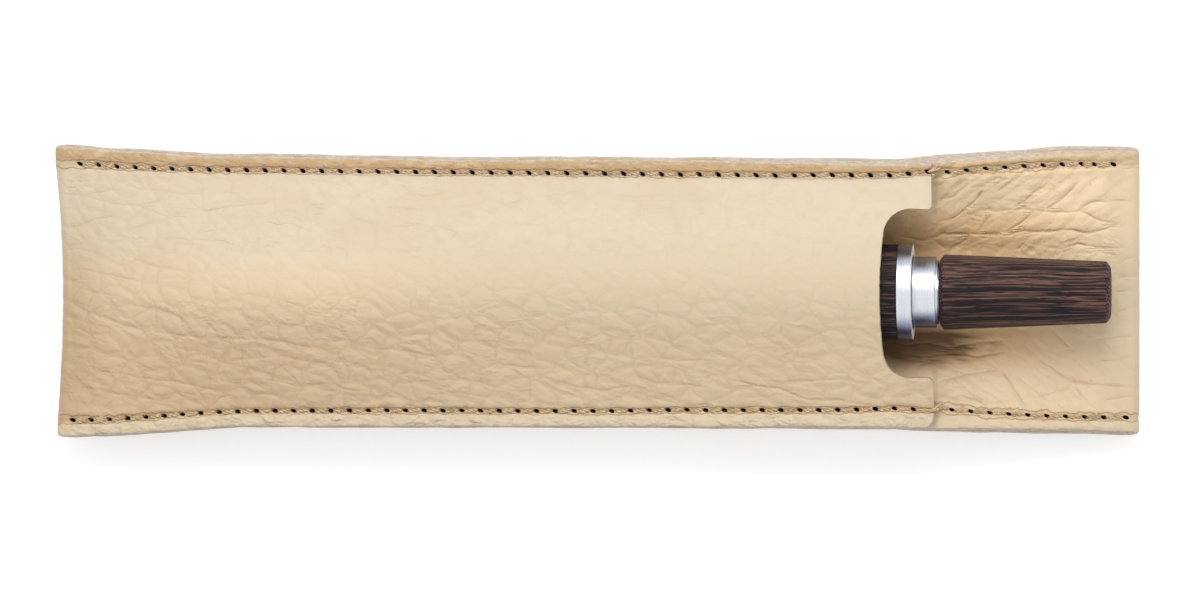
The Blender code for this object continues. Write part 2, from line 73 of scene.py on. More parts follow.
class Shade:
    """A socket in a node tree. Python's operators on it add Math nodes, node() adds any other."""

    def __init__(self, tree, socket=None):
        self.tree, self.socket = tree, socket

    def node(self, kind, settings, sockets, output=0):
        made = self.tree.nodes.new("ShaderNode" + kind)
        for name, value in settings.items():
            if name == "stops":
                ramp = made.color_ramp
                for number, (place, colour) in enumerate(value):
                    stop = ramp.elements[number] if number < 2 else ramp.elements.new(place)
                    stop.position, stop.color = place, colour
            else:
                setattr(made, name, value)
        for name, value in sockets.items():
            if isinstance(value, Shade):
                self.tree.links.new(value.socket, made.inputs[name])
            else:
                made.inputs[name].default_value = value
        return Shade(self.tree, made.outputs[output] if made.outputs else None)

    def maths(self, operation, *values):
        return self.node("Math", {"operation": operation}, dict(enumerate(values)))

    def __add__(self, other):
        return self.maths('ADD', self, other)

    def __radd__(self, other):
        return self.maths('ADD', other, self)

    def __sub__(self, other):
        return self.maths('SUBTRACT', self, other)

    def __rsub__(self, other):
        return self.maths('SUBTRACT', other, self)

    def __mul__(self, other):
        return self.maths('MULTIPLY', self, other)

    def __abs__(self):
        return self.maths('ABSOLUTE', self)

    def most(self, other):
        return self.maths('MAXIMUM', self, other)

    def between(self, low, high):
        """0 at low and 1 at high, with soft ends; low may be the larger."""
        start, end, first, last = (low, high, 0, 1) if low < high else (high, low, 1, 0)
        return self.node("MapRange", {"interpolation_type": 'SMOOTHSTEP'},
                         {"Value": self, 1: start, 2: end, 3: first, 4: last})

    def blend(self, one, other):
        """Colour one where this is 0, the other where it is 1."""
        return self.node("Mix", {"data_type": 'RGBA'}, {0: self, 6: one, 7: other}, 2)

    def vectors(self, operation, *values):
        return self.node("VectorMath", {"operation": operation}, dict(enumerate(values)))


def seen_ray(tree):
    """1 for what the camera, a mirror or a glass shows, 0 for what only lights."""
    rays = tree.node("LightPath", {}, {})
    nodes = rays.socket.node.outputs
    camera_ray, glossy, through = (Shade(tree.tree, nodes[name]) for name in (
        "Is Camera Ray", "Is Glossy Ray", "Is Transmission Ray"))
    return camera_ray.most(glossy).most(through)


def put_in_scene(name, data):
    thing = bpy.data.objects.new(name, data)
    bpy.context.scene.collection.objects.link(thing)
    return thing


camera = put_in_scene("camera", bpy.data.cameras.new("camera"))
bpy.context.scene.camera = camera
camera.data.lens = LENS
backwards = Vector((math.tan(VIEW_TILT[0]), math.tan(VIEW_TILT[1]), 1)).normalized()
across = (Vector((1, 0, 0)) - backwards.x * backwards).normalized()
upwards = backwards.cross(across)
camera.matrix_world = Matrix.Translation(
    Vector(VIEW_CENTRE) + backwards * VIEW_WIDTH * camera.data.lens / camera.data.sensor_width
) @ Matrix((across, upwards, backwards)).transposed().to_4x4()

room = bpy.data.worlds.new("room")
bpy.context.scene.world = room
room.use_nodes = True
tree = Shade(room.node_tree)
facing = tree.node("TexCoord", {}, {}, "Generated")
to_lamp, overhead = (tree.node("SeparateXYZ", {}, {0: facing}, way) for way in (1, 2))
walls = to_lamp.between(-0.7, 0.7).blend(NEAR_SIDE, LAMP_SIDE)
lighting = overhead.between(-0.1, 1.0).blend(walls, ZENITH)
backdrop = overhead.between(0.0, 0.62).blend(BACKDROP_LOW, BACKDROP)
sky = seen_ray(tree).blend(lighting, backdrop)
room.node_tree.links.new(sky.socket, room.node_tree.nodes["Background"].inputs["Color"])

lamp_data = bpy.data.lights.new("softbox", 'AREA')
lamp_data.size = LAMP_SIZE
lamp_data.energy = LAMP_POWER
lamp = put_in_scene("softbox", lamp_data)
lamp.location = LAMP_PLACE
lamp.rotation_euler = Vector(LAMP_PLACE).to_track_quat('Z', 'Y').to_euler()

table_shape = bmesh.new()
bmesh.ops.create_grid(table_shape, x_segments=2, y_segments=2, size=TABLE_SIZE / 2)
table_mesh = bpy.data.meshes.new("table")
table_shape.to_mesh(table_mesh)
table_shape.free()
table = put_in_scene("table", table_mesh)
table.location.z = -TABLE_GAP
table_finish = bpy.data.materials.new("white_table")
table_finish.use_nodes = True
table_mesh.materials.append(table_finish)
tree = Shade(table_finish.node_tree)
paint = table_finish.node_tree.nodes["Principled BSDF"]
paint.inputs["Base Color"].default_value = TABLE_WHITE
paint.inputs["Roughness"].default_value = 0.9
paint.inputs["Specular IOR Level"].default_value = 0.1
paint.inputs["Emission Strength"].default_value = 1
glow = seen_ray(tree).blend((0, 0, 0, 1), TABLE_GLOW)
table_finish.node_tree.links.new(glow.socket, paint.inputs["Emission Color"])

bpy.context.scene.view_settings.view_transform = 'Standard'

# Leather strip
# One strip of thick undyed cowhide runs from the mouth along the front, round the closed end,
# along the back, round the flap end and in under the front. Its edges are cut and left raw,
# a thumb notch is cut in the mouth, and each seam's holes are pricked on a slant.
MM = 0.001
GAP = 0.0003
CASE_LENGTH = 0.1726
LEATHER = 0.0018
SEAM_HALF = 0.0206
SEAM_STRETCH = 0.0009
MARGIN = 0.0024
FLAP_LENGTH = 0.066
SKIVE_LENGTH = 0.016
SKIVED_EDGE = 0.0004
MOUTH_DEPTH = 0.0325
SKEW = 0.0002
SKEW_LENGTH = 0.0120
CLOSED_END_LIFT = 0.0055
FLAP_END_LIFT = 0.0022
DOME_LEAD = 0.0070
CHANNEL_LEAD = 0.0056
CHANNEL_FALL = 1.1
BOW = 0.0010
BOW_FALL = 4
STEP_LENGTH = 0.0060
STEP_LEAD = 0.0010
FLAT_HALF = 0.0060
BACK_ROUND = 0.0060
FRONT_ROUND = 0.0115
FRONT_TILT = math.radians(8.5)
FLAP_TILT = math.radians(14)
TILT_LENGTH = 0.0120
NOTCH_HALF = 0.0132
NOTCH_DEPTH = 0.0075
NOTCH_ROUND = 0.0042
NOSE_ROOM = 0.0210
NOSE_LENGTH = 0.0200
BARREL = 0.0150

LAYER = LEATHER + GAP
FOLD_RADIUS = LAYER / 2
LIMIT = CASE_LENGTH / 2 - FOLD_RADIUS - LEATHER / 2
MOUTH = CASE_LENGTH / 2 - MOUTH_DEPTH
FLAP_TIP = CASE_LENGTH / 2 - FLAP_LENGTH
STEP_START = FLAP_TIP - STEP_LEAD - STEP_LENGTH
BARREL_FRONT = NOSE_ROOM + NOSE_LENGTH + GAP - CASE_LENGTH / 2
DOME_END = BARREL_FRONT - DOME_LEAD
REST_HEIGHT = LEATHER + GAP + BARREL / 2
PITCH_RISE = LAYER / (FLAP_TIP + SKIVE_LENGTH - BARREL_FRONT)


def smooth_step(value, low=0.0, high=1.0):
    value = np.clip((value - low) / (high - low), 0, 1)
    return value * value * (3 - 2 * value)


def swell(x):
    """Share of the full depth, 0 at both folds and 1 along most of the pen."""
    if x < 0:
        return 1 - (1 - min((x + LIMIT) / (DOME_END + LIMIT), 1)) ** 2
    return 1 - (1 - min((LIMIT - x) / (LIMIT - MOUTH + CHANNEL_LEAD), 1)) ** CHANNEL_FALL


def flap_thickness(x):
    return SKIVED_EDGE + (LEATHER - SKIVED_EDGE) * np.clip((x - FLAP_TIP) / SKIVE_LENGTH, 0, 1)


class Panel:
    """Half of one panel across the case: flat, then round, then straight out to the seam."""

    def __init__(self, flat, radius, angle, straight):
        self.flat, self.radius, self.angle = flat, radius, angle
        self.length = flat + radius * angle + straight

    def at(self, share):
        """Distances out and away from the ridge, at shares of the way to the seam."""
        run = share * self.length
        turn = np.clip((run - self.flat) / self.radius, 0, self.angle)
        rest = run - self.flat - self.radius * turn
        return (self.flat + self.radius * np.sin(turn) + rest * np.cos(turn),
                self.radius * (1 - np.cos(turn)) + rest * np.sin(turn))


def panel_by_depth(flat, radius, length, depth):
    low, high = 0, math.radians(60)
    for _ in range(40):
        angle = (low + high) / 2
        straight = length - flat - radius * angle
        if radius * (1 - math.cos(angle)) + straight * math.sin(angle) < depth:
            low = angle
        else:
            high = angle
    return Panel(flat, radius, angle, straight)


def panel_by_corner(radius, out, depth):
    reach = math.hypot(out, radius - depth)
    angle = math.atan2(out, radius - depth) - math.acos(radius / reach)
    return Panel(0, radius, angle, math.sqrt(reach ** 2 - radius ** 2))


class Section:
    """The strip across the case at one place: the middles of its layers, out from the pen."""

    def __init__(self, x):
        self.x = x
        shape = swell(x)
        end_lift = CLOSED_END_LIFT if x < 0 else FLAP_END_LIFT
        self.tilt = FRONT_TILT + (FLAP_TILT - FRONT_TILT) * smooth_step((x - MOUTH) / TILT_LENGTH + 0.5)
        climb = smooth_step((x - STEP_START) / STEP_LENGTH)
        stack = LAYER + climb * (GAP + flap_thickness(x))
        full_height = REST_HEIGHT + (x - BARREL_FRONT) * PITCH_RISE + BARREL / 2 + GAP
        room = full_height - stack * math.cos(self.tilt)
        self.bottom = end_lift + (LEATHER / 2 - end_lift) * shape
        self.back_panel = panel_by_depth(FLAT_HALF, BACK_ROUND, SEAM_HALF + SEAM_STRETCH * shape,
                                         shape * room / 2)
        out, depth = self.back_panel.at(1)
        self.front_seam = (out - stack * math.sin(self.tilt),
                           self.bottom + depth + stack * math.cos(self.tilt))
        self.top = self.front_seam[1] + shape * room / 2 if x < 0 else LEATHER / 2 + full_height
        self.front_panel = panel_by_corner(FRONT_ROUND, self.front_seam[0],
                                           self.top - self.front_seam[1])

    def margin(self, share):
        past = np.clip(share - 1, 0, None) * SEAM_HALF
        return past * math.cos(self.tilt), past * math.sin(self.tilt)

    def back(self, share):
        out, depth = self.back_panel.at(np.clip(share, None, 1))
        past, rise = self.margin(share)
        return out + past, self.bottom + depth + rise

    def front(self, share):
        out, depth = self.front_panel.at(np.clip(share, None, 1))
        past, rise = self.margin(share)
        return out + past, self.top - depth + rise

    def flap(self, share):
        """The inner flap's middle, laid over the back panel at right angles to it."""
        y, z = self.back(share)
        slope_y, slope_z = np.gradient(y), np.gradient(z)
        steep = np.hypot(slope_y, slope_z)
        lift = LEATHER / 2 + GAP + flap_thickness(self.x) / 2
        return y - lift * slope_z / steep, z + lift * slope_y / steep


FINE_ROWS = 0.00042
COARSE_ROWS = 0.0011
HIDDEN_ROWS = 0.0020
FOLD_TURNS = 12
FINE_COLUMNS = 0.00030
WIDE_COLUMNS = 0.00038
FINE_BAND = 0.0170
FINE_UNDER_MOUTH = 0.0080


def even_places(start, end, spacing):
    return np.linspace(start, end, max(round(abs(end - start) / spacing), 1) + 1)


half_shares = np.concatenate((
    even_places(0, FINE_BAND, WIDE_COLUMNS)[:-1], even_places(FINE_BAND, SEAM_HALF, FINE_COLUMNS)[:-1],
    even_places(SEAM_HALF, SEAM_HALF + MARGIN, FINE_COLUMNS))) / SEAM_HALF
shares = np.concatenate((-half_shares[:0:-1], half_shares))
out_shares = np.abs(shares)
seam_column = {side: int(np.argmin(np.abs(shares - side))) for side in (1, -1)}

strip = []           # one row after another: layer's name, x along the case, y and z of its middle


def add_row(layer, x, y, z):
    strip.append((layer, x, np.full_like(shares, x),
                  np.concatenate((-y[:0:-1], y)), np.concatenate((z[:0:-1], z))))


def add_rows(layer, places):
    for x in places:
        add_row(layer, x, *getattr(Section(x), layer)(half_shares))


def add_fold(x, side, upper):
    section = Section(x)
    low, high = section.back(half_shares), getattr(section, upper)(half_shares)
    for i in range(1, FOLD_TURNS):
        turn = math.pi * i / FOLD_TURNS
        share = (1 - side * math.cos(turn)) / 2
        y, z = (one + (other - one) * share for one, other in zip(low, high))
        add_row("fold", x + side * FOLD_RADIUS * math.sin(turn), y, z)


add_rows("front", even_places(MOUTH, -LIMIT, FINE_ROWS))
add_fold(-LIMIT, -1, "front")
add_rows("back", even_places(-LIMIT, LIMIT, COARSE_ROWS))
add_fold(LIMIT, 1, "flap")
add_rows("flap", even_places(LIMIT, MOUTH - FINE_UNDER_MOUTH, FINE_ROWS)[:-1])
add_rows("flap", even_places(MOUTH - FINE_UNDER_MOUTH, FLAP_TIP, HIDDEN_ROWS))

layers = np.array([row[0] for row in strip])
middle = np.stack([np.stack(row[2:], axis=-1) for row in strip])      # rows, columns, xyz

# The front panel's closed end is drawn in at its middle, and the mouth is cut a little askew.
inward = np.clip((MOUTH - middle[..., 0]) / (MOUTH + LIMIT), 0, None)
middle[..., 0] += BOW * inward ** BOW_FALL * (1 - np.minimum(out_shares, 1) ** 2)
askew = smooth_step(middle[..., 0], MOUTH - SKEW_LENGTH, MOUTH) * (layers == "front")[:, None]
middle[..., 0] -= SKEW * middle[..., 1] / SEAM_HALF * askew

# Seams and cut edges wander a little: x along the case and how far they stand out there, in mm.
SEAM_WANDER = {
    1: ((-82, 0.0), (-76, -0.4), (-70, -0.4), (-63, -0.1), (-54, 0.2), (-30, 0.1), (4, 0.1), (17, 0.0),
        (30, -0.3), (48, -0.2), (57, 0.3), (63, 0.2), (69, 0.0), (76, -0.1), (81, -0.3), (86, -0.35)),
    -1: ((-84, 0.4), (-76, 0.0), (-65, -0.25), (-50, -0.25), (-30, -0.2), (-15, 0.0), (2, 0.15),
         (17, 0.0), (29, -0.15), (42, -0.3), (49, -0.5), (57, -0.1), (69, -0.1), (84, 0.0))}
EDGE_LINE = {
    1: ((-84, 0.2), (-78, -0.4), (-62, -0.3), (-53, 0.0), (-34, -0.15), (-21, -0.3), (-8, -0.15), (4, 0.0),
        (17, -0.15), (30, -0.6), (42, -0.8), (67, -0.9), (74, -0.55), (86, -0.6)),
    -1: ((-84, 0.5), (-80, 0.2), (-72, 0.0), (-60, -0.15), (-40, 0.0), (-8, 0.3), (8, 0.45), (20, 0.4),
         (30, 0.15), (42, 0.15), (50, 0.3), (58, 0.0), (66, -0.3), (76, -0.3), (84, 0.1))}
near_edge = smooth_step(out_shares, 0.72, 1)
in_margin = smooth_step(out_shares, 1, shares[-1])
for side in (1, -1):
    seam_x, seam_out = np.array(SEAM_WANDER[side]).T * MM
    edge_x, edge_out = np.array(EDGE_LINE[side]).T * MM
    here = (shares * side > 0) * side
    stands_out = (np.interp(middle[..., 0], seam_x, seam_out) * (1 - in_margin)
                  + np.interp(middle[..., 0], edge_x, edge_out) * in_margin)
    middle[..., 1] += here * near_edge * stands_out

# The front panel's two mouth corners are rounded by wear, one more than the other.
MOUTH_CORNERS = {1: 0.0005, -1: 0.0011}
for side, rounding in MOUTH_CORNERS.items():
    near = np.clip(1 - (MOUTH - middle[..., 0]) / rounding, 0, 1) * (layers == "front")[:, None]
    drawn_in = rounding * (1 - np.sqrt(1 - near ** 2))
    middle[..., 1] -= side * drawn_in * in_margin * (shares * side > 0)

# The leather turns into the margin in a soft bend, not in a sharp one.
BEND_ROUNDS = 3
NORMAL_ROUNDS = 4
for _ in range(BEND_ROUNDS):
    middle[:, 1:-1, 1:] = (middle[:, :-2, 1:] + 2 * middle[:, 1:-1, 1:] + middle[:, 2:, 1:]) / 4


def outward_normals(points):
    lengthways, sideways = np.gradient(points, axis=0), np.gradient(points, axis=1)
    normals = np.cross(sideways, lengthways)
    normals /= np.linalg.norm(normals, axis=-1, keepdims=True)
    for _ in range(NORMAL_ROUNDS):
        normals[:, 1:-1] = normals[:, :-2] + 2 * normals[:, 1:-1] + normals[:, 2:]
        normals /= np.linalg.norm(normals, axis=-1, keepdims=True)
    return normals


normals = outward_normals(middle)
step_lengths = np.linalg.norm(np.diff(middle[:, middle.shape[1] // 2], axis=0), axis=-1)
along_strip = MOUTH - np.concatenate(([0], np.cumsum(step_lengths)))   # x on the front, then on

# Each seam's first hole, the end of its even stitches and how many those are, and its last holes.
STITCH_ROWS = {1: (-0.0821, 0.0772, 53, (0.0792, 0.0822)), -1: (-0.0836, 0.0807, 55, (0.0842,))}


def hole_places(side):
    first, last_even, count, last_holes = STITCH_ROWS[side]
    return [first + (last_even - first) * i / count for i in range(count + 1)] + list(last_holes)


SEAM_DIP = 0.00030
SEAM_DIP_HALF = 0.0007
SEAM_END = 0.002
PUCKER = 0.00012
PUCKER_PLACE = 0.0012
PUCKER_HALF = 0.0008
WRINKLE = 0.00009
WRINKLE_REACH = 0.0024

# Creases that are seen one by one: how deep it is, in tenths of a full crease, then x and y of
# points along it, in tenths of a millimetre on the case.
FRONT_CREASES = (
    (9, -849, 152, -807, 154, -773, 160, -745, 162),
    (7, -840, 150, -808, 150, -761, 140, -725, 137, -688, 143, -659, 153),
    (6, -725, 137, -700, 128, -678, 118, -646, 125, -629, 130),
    (5, -770, 182, -752, 170, -716, 162, -671, 158, -648, 155, -603, 155),
    (9, -634, 130, -608, 127, -587, 131, -557, 135, -522, 139, -493, 149),
    (5, -561, 150, -539, 136),
    (6, -455, 130, -438, 135, -414, 137),
    (5, -490, 127, -464, 123),
    (7, -843, 101, -818, 106, -796, 113, -750, 123),
    (7, -839, 68, -817, 67, -792, 61, -765, 53),
    (4, -685, 81, -662, 83, -620, 80, -565, 80),
    (6, -752, 55, -730, 55, -697, 41, -661, 36, -612, 32),
    (8, -839, 36, -802, 34, -763, 26, -726, 18, -698, 15),
    (5, -839, 14, -810, 22),
    (7, -839, -2, -825, 5, -763, -4, -726, -11),
    (9, -839, -16, -810, -30, -776, -37, -751, -49, -724, -55, -684, -60, -644, -64, -584, -66, -529, -68,
     -479, -74, -435, -81, -379, -96),
    (7, -839, -58, -817, -59, -792, -74, -762, -83),
    (7, -754, -13, -718, -20, -683, -23, -654, -34, -636, -43),
    (8, -691, -65, -674, -84, -660, -100, -629, -107, -597, -110, -566, -103, -526, -98, -495, -96, -457,
     -101, -428, -106, -379, -112),
    (7, -615, -19, -604, -39, -588, -63, -575, -95, -570, -120),
    (7, -839, -93, -802, -89, -768, -101, -729, -110, -687, -124, -660, -137),
    (8, -849, -117, -811, -116, -782, -125, -736, -133, -700, -136, -665, -138, -617, -149, -593, -156,
     -565, -157),
    (10, -525, -137, -497, -135, -471, -142, -445, -143, -418, -140, -382, -150, -347, -151),
    (7, -604, -123, -587, -138, -557, -142, -542, -137, -519, -149, -506, -163),
    (6, -505, -98, -482, -122, -465, -135),
    (7, -849, -152, -812, -154, -770, -159, -737, -163, -689, -174, -646, -174),
    (5, -840, -176, -812, -179, -780, -175),
    (5, -606, -65, -612, -110),
    (5, -529, -68, -526, -98),
    (5, -571, -68, -576, -107),
    (6, -378, -73, -331, -84, -284, -89, -227, -102),
    (6, -333, -125, -285, -122, -238, -133, -183, -136, -136, -148),
    (5, -271, -158, -216, -154, -161, -164),
    (5, -301, 152, -261, 149, -235, 154),
    (5, -327, 134, -293, 129, -267, 129),
    (4, -238, 135, -178, 134),
    (5, -152, 140, -134, 135, -106, 142),
    (4, -65, 143, -28, 137),
    (5, -389, 115, -335, 107),
    (4, -138, 109, -63, 103),
    (4, -41, 109, -2, 115),
    (4, 29, 152, 77, 148, 121, 153),
    (8, -55, -136, -16, -144, 17, -148, 65, -144),
    (8, 80, -159, 116, -166, 166, -175, 203, -172),
    (7, 61, -125, 111, -139, 164, -143, 197, -146),
    (9, 198, -125, 234, -136, 261, -141, 300, -146, 342, -164, 393, -165, 456, -175),
    (6, 182, -172, 230, -151, 267, -141),
    (7, 303, -136, 351, -133, 393, -131, 447, -139),
    (5, -158, -105, -95, -115, -38, -113),
    (5, 79, -92, 142, -102, 205, -99),
)
FLAP_CREASES = (
    (10, 466, 96, 495, 91, 520, 85, 550, 93, 590, 91, 636, 92, 654, 97, 679, 112, 694, 126, 710, 148),
    (9, 538, 114, 568, 118, 586, 130, 608, 149, 619, 171),
    (6, 537, 149, 564, 152, 586, 168, 597, 179),
    (5, 537, 170, 558, 183),
    (8, 590, 130, 636, 128, 659, 131, 684, 131, 722, 126, 773, 126, 799, 111, 835, 105, 856, 106),
    (5, 637, 160, 654, 171, 665, 181),
    (6, 659, 131, 683, 142, 710, 166, 724, 179),
    (7, 709, 126, 733, 142, 756, 162, 773, 178),
    (7, 764, 127, 789, 140, 814, 143, 853, 141),
    (6, 608, 97, 619, 112, 630, 125),
    (9, 619, 80, 636, 88, 679, 97, 709, 95, 748, 97, 784, 90, 821, 101, 853, 98),
    (8, 709, 71, 735, 68, 763, 74, 803, 66, 853, 69),
    (6, 670, 62, 679, 76, 690, 89),
    (7, 563, 62, 579, 75, 600, 89),
    (6, 536, 86, 550, 72, 560, 64),
    (5, 773, 57, 800, 60, 835, 55),
    (5, 826, 39, 853, 54),
    (5, 827, 17, 856, 22),
    (5, 826, -5, 856, -1),
    (5, 829, -36, 856, -26),
    (9, 466, -84, 493, -93, 525, -89, 565, -93, 620, -87, 660, -81),
    (9, 479, -104, 525, -110, 565, -103, 613, -108, 663, -99),
    (6, 505, -128, 533, -118, 560, -128),
    (8, 641, -124, 660, -150, 684, -187),
    (9, 698, -105, 724, -124, 746, -140, 783, -150, 853, -152),
    (6, 754, -104, 783, -135),
    (6, 760, -154, 781, -180),
    (5, 595, -164, 619, -178),
    (6, 537, -152, 581, -139, 636, -128),
    (5, 547, -177, 581, -170, 621, -180, 664, -174),
    (6, 795, -115, 853, -106),
    (5, 803, -174, 853, -168),
    (5, 787, -82, 853, -74),
    (5, 692, -173, 732, -162, 760, -154),
)

CREASE_SIGHT = 0.75          # how far from a crease its shade reaches, in mm
NET_REPEAT = 64
NET_GROOVE = 0.09
CELL_PLACES = np.random.RandomState(11).random_sample((NET_REPEAT, NET_REPEAT, 3))


def wandering(x, y, size_x, size_y, seed):
    """Smooth noise at arrays of places, in features of about the given size."""
    places = zip((x / size_x).ravel(), (y / size_y).ravel())
    return np.array([noise.noise((a, b, seed)) for a, b in places]).reshape(x.shape)


def crease_distances(x, y, creases):
    """Signed distance from each place to the nearest crease, and that crease's depth, 0 to 1."""
    nearest, depths = np.full(x.shape, 9.0), np.zeros(x.shape)
    for tenths, *places in creases:
        points = np.reshape(places, (-1, 2)) / 10
        steps = np.diff(points, axis=0)
        lengths = np.hypot(*steps.T)
        run = np.concatenate(([0], np.cumsum(lengths))) / lengths.sum()
        for i, ((x0, y0), (dx, dy)) in enumerate(zip(points, steps)):
            share = np.clip(((x - x0) * dx + (y - y0) * dy) / lengths[i] ** 2, 0, 1)
            off_x, off_y = x - x0 - share * dx, y - y0 - share * dy
            distance = np.hypot(off_x, off_y)
            along = run[i] + (run[i + 1] - run[i]) * share
            depth = tenths / 10 * smooth_step(along, 0, 0.22) * smooth_step(along, 1, 0.78)
            closer = distance < np.abs(nearest)
            nearest[closer] = (np.where(dx * off_y - dy * off_x < 0, -1, 1) * distance)[closer]
            depths[closer] = depth[closer]
    return nearest, depths


def cell_net(x, y, turn, along, across, open_ends):
    """A net of stretched cells: how far the nearest border is, the groove there, the cell's level."""
    turn = math.radians(turn)
    u = (x * math.cos(turn) + y * math.sin(turn)) / along
    v = (y * math.cos(turn) - x * math.sin(turn)) / across
    home_u, home_v = np.floor(u).astype(int), np.floor(v).astype(int)
    ways = []
    for i in (-1, 0, 1):
        for j in (-1, 0, 1):
            cell = CELL_PLACES[(home_u + i) % NET_REPEAT, (home_v + j) % NET_REPEAT]
            ways.append((home_u + i + cell[..., 0] - u, home_v + j + cell[..., 1] - v, cell[..., 2]))
    ways = np.array(ways)
    nearest = np.argmin(np.hypot(ways[:, 0], ways[:, 1]), axis=0)
    own = np.take_along_axis(ways, nearest[None, None], axis=0)[0]
    apart = ways[:, :2] - own[:2]
    length = np.hypot(apart[:, 0], apart[:, 1])
    border = ((ways[:, :2] + own[:2]) / 2 * apart).sum(axis=1) / np.maximum(length, 1e-6)
    border = np.where(length > 1e-6, border, 9)
    across_end = (apart[:, 0] / np.maximum(length, 1e-6)) ** 2
    groove = (np.exp(-border / NET_GROOVE) * (1 - open_ends * across_end)).max(axis=0)
    return border.min(axis=0), groove, own[2] - 0.5


def seam_relief(x, y, seam_y, side):
    """The thread pulls the leather down along the seam, most at each hole; metres."""
    off = np.abs(y) - seam_y
    holes = hole_places(side)
    inside = (smooth_step(x, holes[0] - SEAM_END, holes[0])
              * smooth_step(x, holes[-1] + SEAM_END, holes[-1]))
    at_hole = np.cos(math.tau * np.interp(x, holes, np.arange(len(holes))))
    dip = SEAM_DIP * np.exp(-(off / SEAM_DIP_HALF) ** 2)
    swelling = PUCKER * np.exp(-((np.abs(off) - PUCKER_PLACE) / PUCKER_HALF) ** 2)
    wrinkle = wandering(x, y, 0.0013, 0.0011, 5.5) * WRINKLE * np.exp(-(off / WRINKLE_REACH) ** 2)
    return inside * (wrinkle + swelling * (0.7 - 0.5 * at_hole) - dip * (1 + 0.25 * at_hole))


rows, columns = middle.shape[:2]
in_flap = np.array([1.0 if name == "flap" or (name == "fold" and row[1] > 0) else 0.0
                    for name, row in zip(layers, strip)])[:, None] * np.ones(columns)
in_front = (layers == "front")[:, None] * np.ones(columns)
closed_fold = np.flatnonzero((layers == "fold") & np.array([row[1] < 0 for row in strip]))
in_front[closed_fold] = np.linspace(1, 0, len(closed_fold))[:, None]
x, y = middle[..., 0] / MM, middle[..., 1] / MM
s = along_strip[:, None] / MM * np.ones(columns)

# Every line of the relief wanders: each place drifts slowly, and a little quickly as well.
drift_x = wandering(s, y, 6, 6, 3.1) * 1.5 + wandering(s, y, 1.6, 1.6, 9.4) * 0.30
drift_y = wandering(s, y, 6, 6, 13.1) * 1.1 + wandering(s, y, 1.6, 1.6, 19.4) * 0.26

# Relief of the grain side, in millimetres. Where the front is slack it lies in puffy cells:
# most along its lower half, hardly over the pen. The flap is crumpled into long folds, which
# lean one way above the pen and the other way below it.
CELLS = {"turn": -17, "along": 4.7, "across": 3.0, "open_ends": 0.25}
FOLDS = {"along": 9.0, "across": 3.1, "open_ends": 0.7}
FOLD_TURN_ABOVE = 36
FOLD_TURN_BELOW = -40
CELL_GROOVE = 0.200
CELL_LEVEL = 0.105
FOLD_GROOVE = 0.22
FOLD_LEVEL = 0.17
LEVEL_EDGE = 0.35            # share of a cell's width over which it comes up to its level
FRONT_CREASE_DEPTH = 0.09
FLAP_CREASE_DEPTH = 0.20
CREASE_HALF = 0.40
LIP_SHARE = 0.35
LIP_PLACE = 0.9
LIP_HALF = 0.5
lower_half = smooth_step(y, 6, -4)
slack = np.maximum.reduce((
    in_front * lower_half * (0.74 + 0.26 * smooth_step(x, 45, -45))
    * (0.82 + 0.18 * smooth_step(x, 10, -50)),
    in_front * 0.50 * smooth_step(x, -10, -75),
    in_front * (0.18 + 0.10 * smooth_step(x, 48, 10)),
    in_front * 0.40 * smooth_step(np.abs(y), 13.5, 18),
    (1 - in_front) * (1 - in_flap) * 0.5))
crumpled = in_flap * (0.12 + 0.88 * smooth_step(x, 86, 80)) * (0.68 + 0.32 * smooth_step(y, -7, -2))
above = smooth_step(y, -3, 3)

height = np.zeros((rows, columns))
border, groove, level = cell_net(s + drift_x, y + drift_y, **CELLS)
height += slack * (CELL_GROOVE * (1 - groove) + CELL_LEVEL * level * smooth_step(border, 0, LEVEL_EDGE))
fold = np.zeros((rows, columns))
near_mouth = 1 + 0.35 * smooth_step(x, 66, 56) * above
for share, turn in ((above, FOLD_TURN_ABOVE), (1 - above, FOLD_TURN_BELOW)):
    border, groove, level = cell_net(s + drift_x * 0.8, y + drift_y * 0.8, turn, **FOLDS)
    height += share * crumpled * near_mouth * (
        FOLD_GROOVE * (1 - groove) + FOLD_LEVEL * level * smooth_step(border, 0, LEVEL_EDGE))
    fold += share * in_flap * groove
height += crumpled * (0.22 * wandering(s, y, 9, 4, 31.7) + 0.015 * wandering(s, y, 1.5, 1.1, 4.4))
height += slack * (0.10 * wandering(s, y, 11, 5, 41.7) + 0.02 * wandering(s, y, 1.5, 1.1, 4.4))
mark, mark_depth = np.full((rows, columns), 9.0), np.zeros((rows, columns))
jog = wandering(x, y, 0.9, 0.9, 51.3) * 0.16
for creases, where, depth in (
        (FRONT_CREASES, in_front * (0.75 + 0.45 * lower_half), FRONT_CREASE_DEPTH),
        (FLAP_CREASES, in_flap, FLAP_CREASE_DEPTH)):
    distance, deep = crease_distances(x + drift_x * 0.22, y + drift_y * 0.26 + jog, creases)
    deep = deep * (0.75 + 0.7 * wandering(x, y, 3.0, 1.5, 61.9))
    height -= where * depth * deep * np.exp(-np.abs(distance) / CREASE_HALF)
    height += where * depth * LIP_SHARE * deep * np.exp(
        -((np.abs(distance) - LIP_PLACE) / LIP_HALF) ** 2)
    mark, mark_depth = np.where(where > 0, distance, mark), np.where(where > 0, deep, mark_depth)
height *= MM
seam_y = {side: np.abs(middle[:, [seam_column[side]], 1]) for side in (1, -1)}
height += np.where(y > 0, *(seam_relief(x * MM, y * MM, seam_y[side], side) for side in (1, -1)))
off_seam = np.abs(y) - np.where(y > 0, seam_y[1], seam_y[-1]) / MM

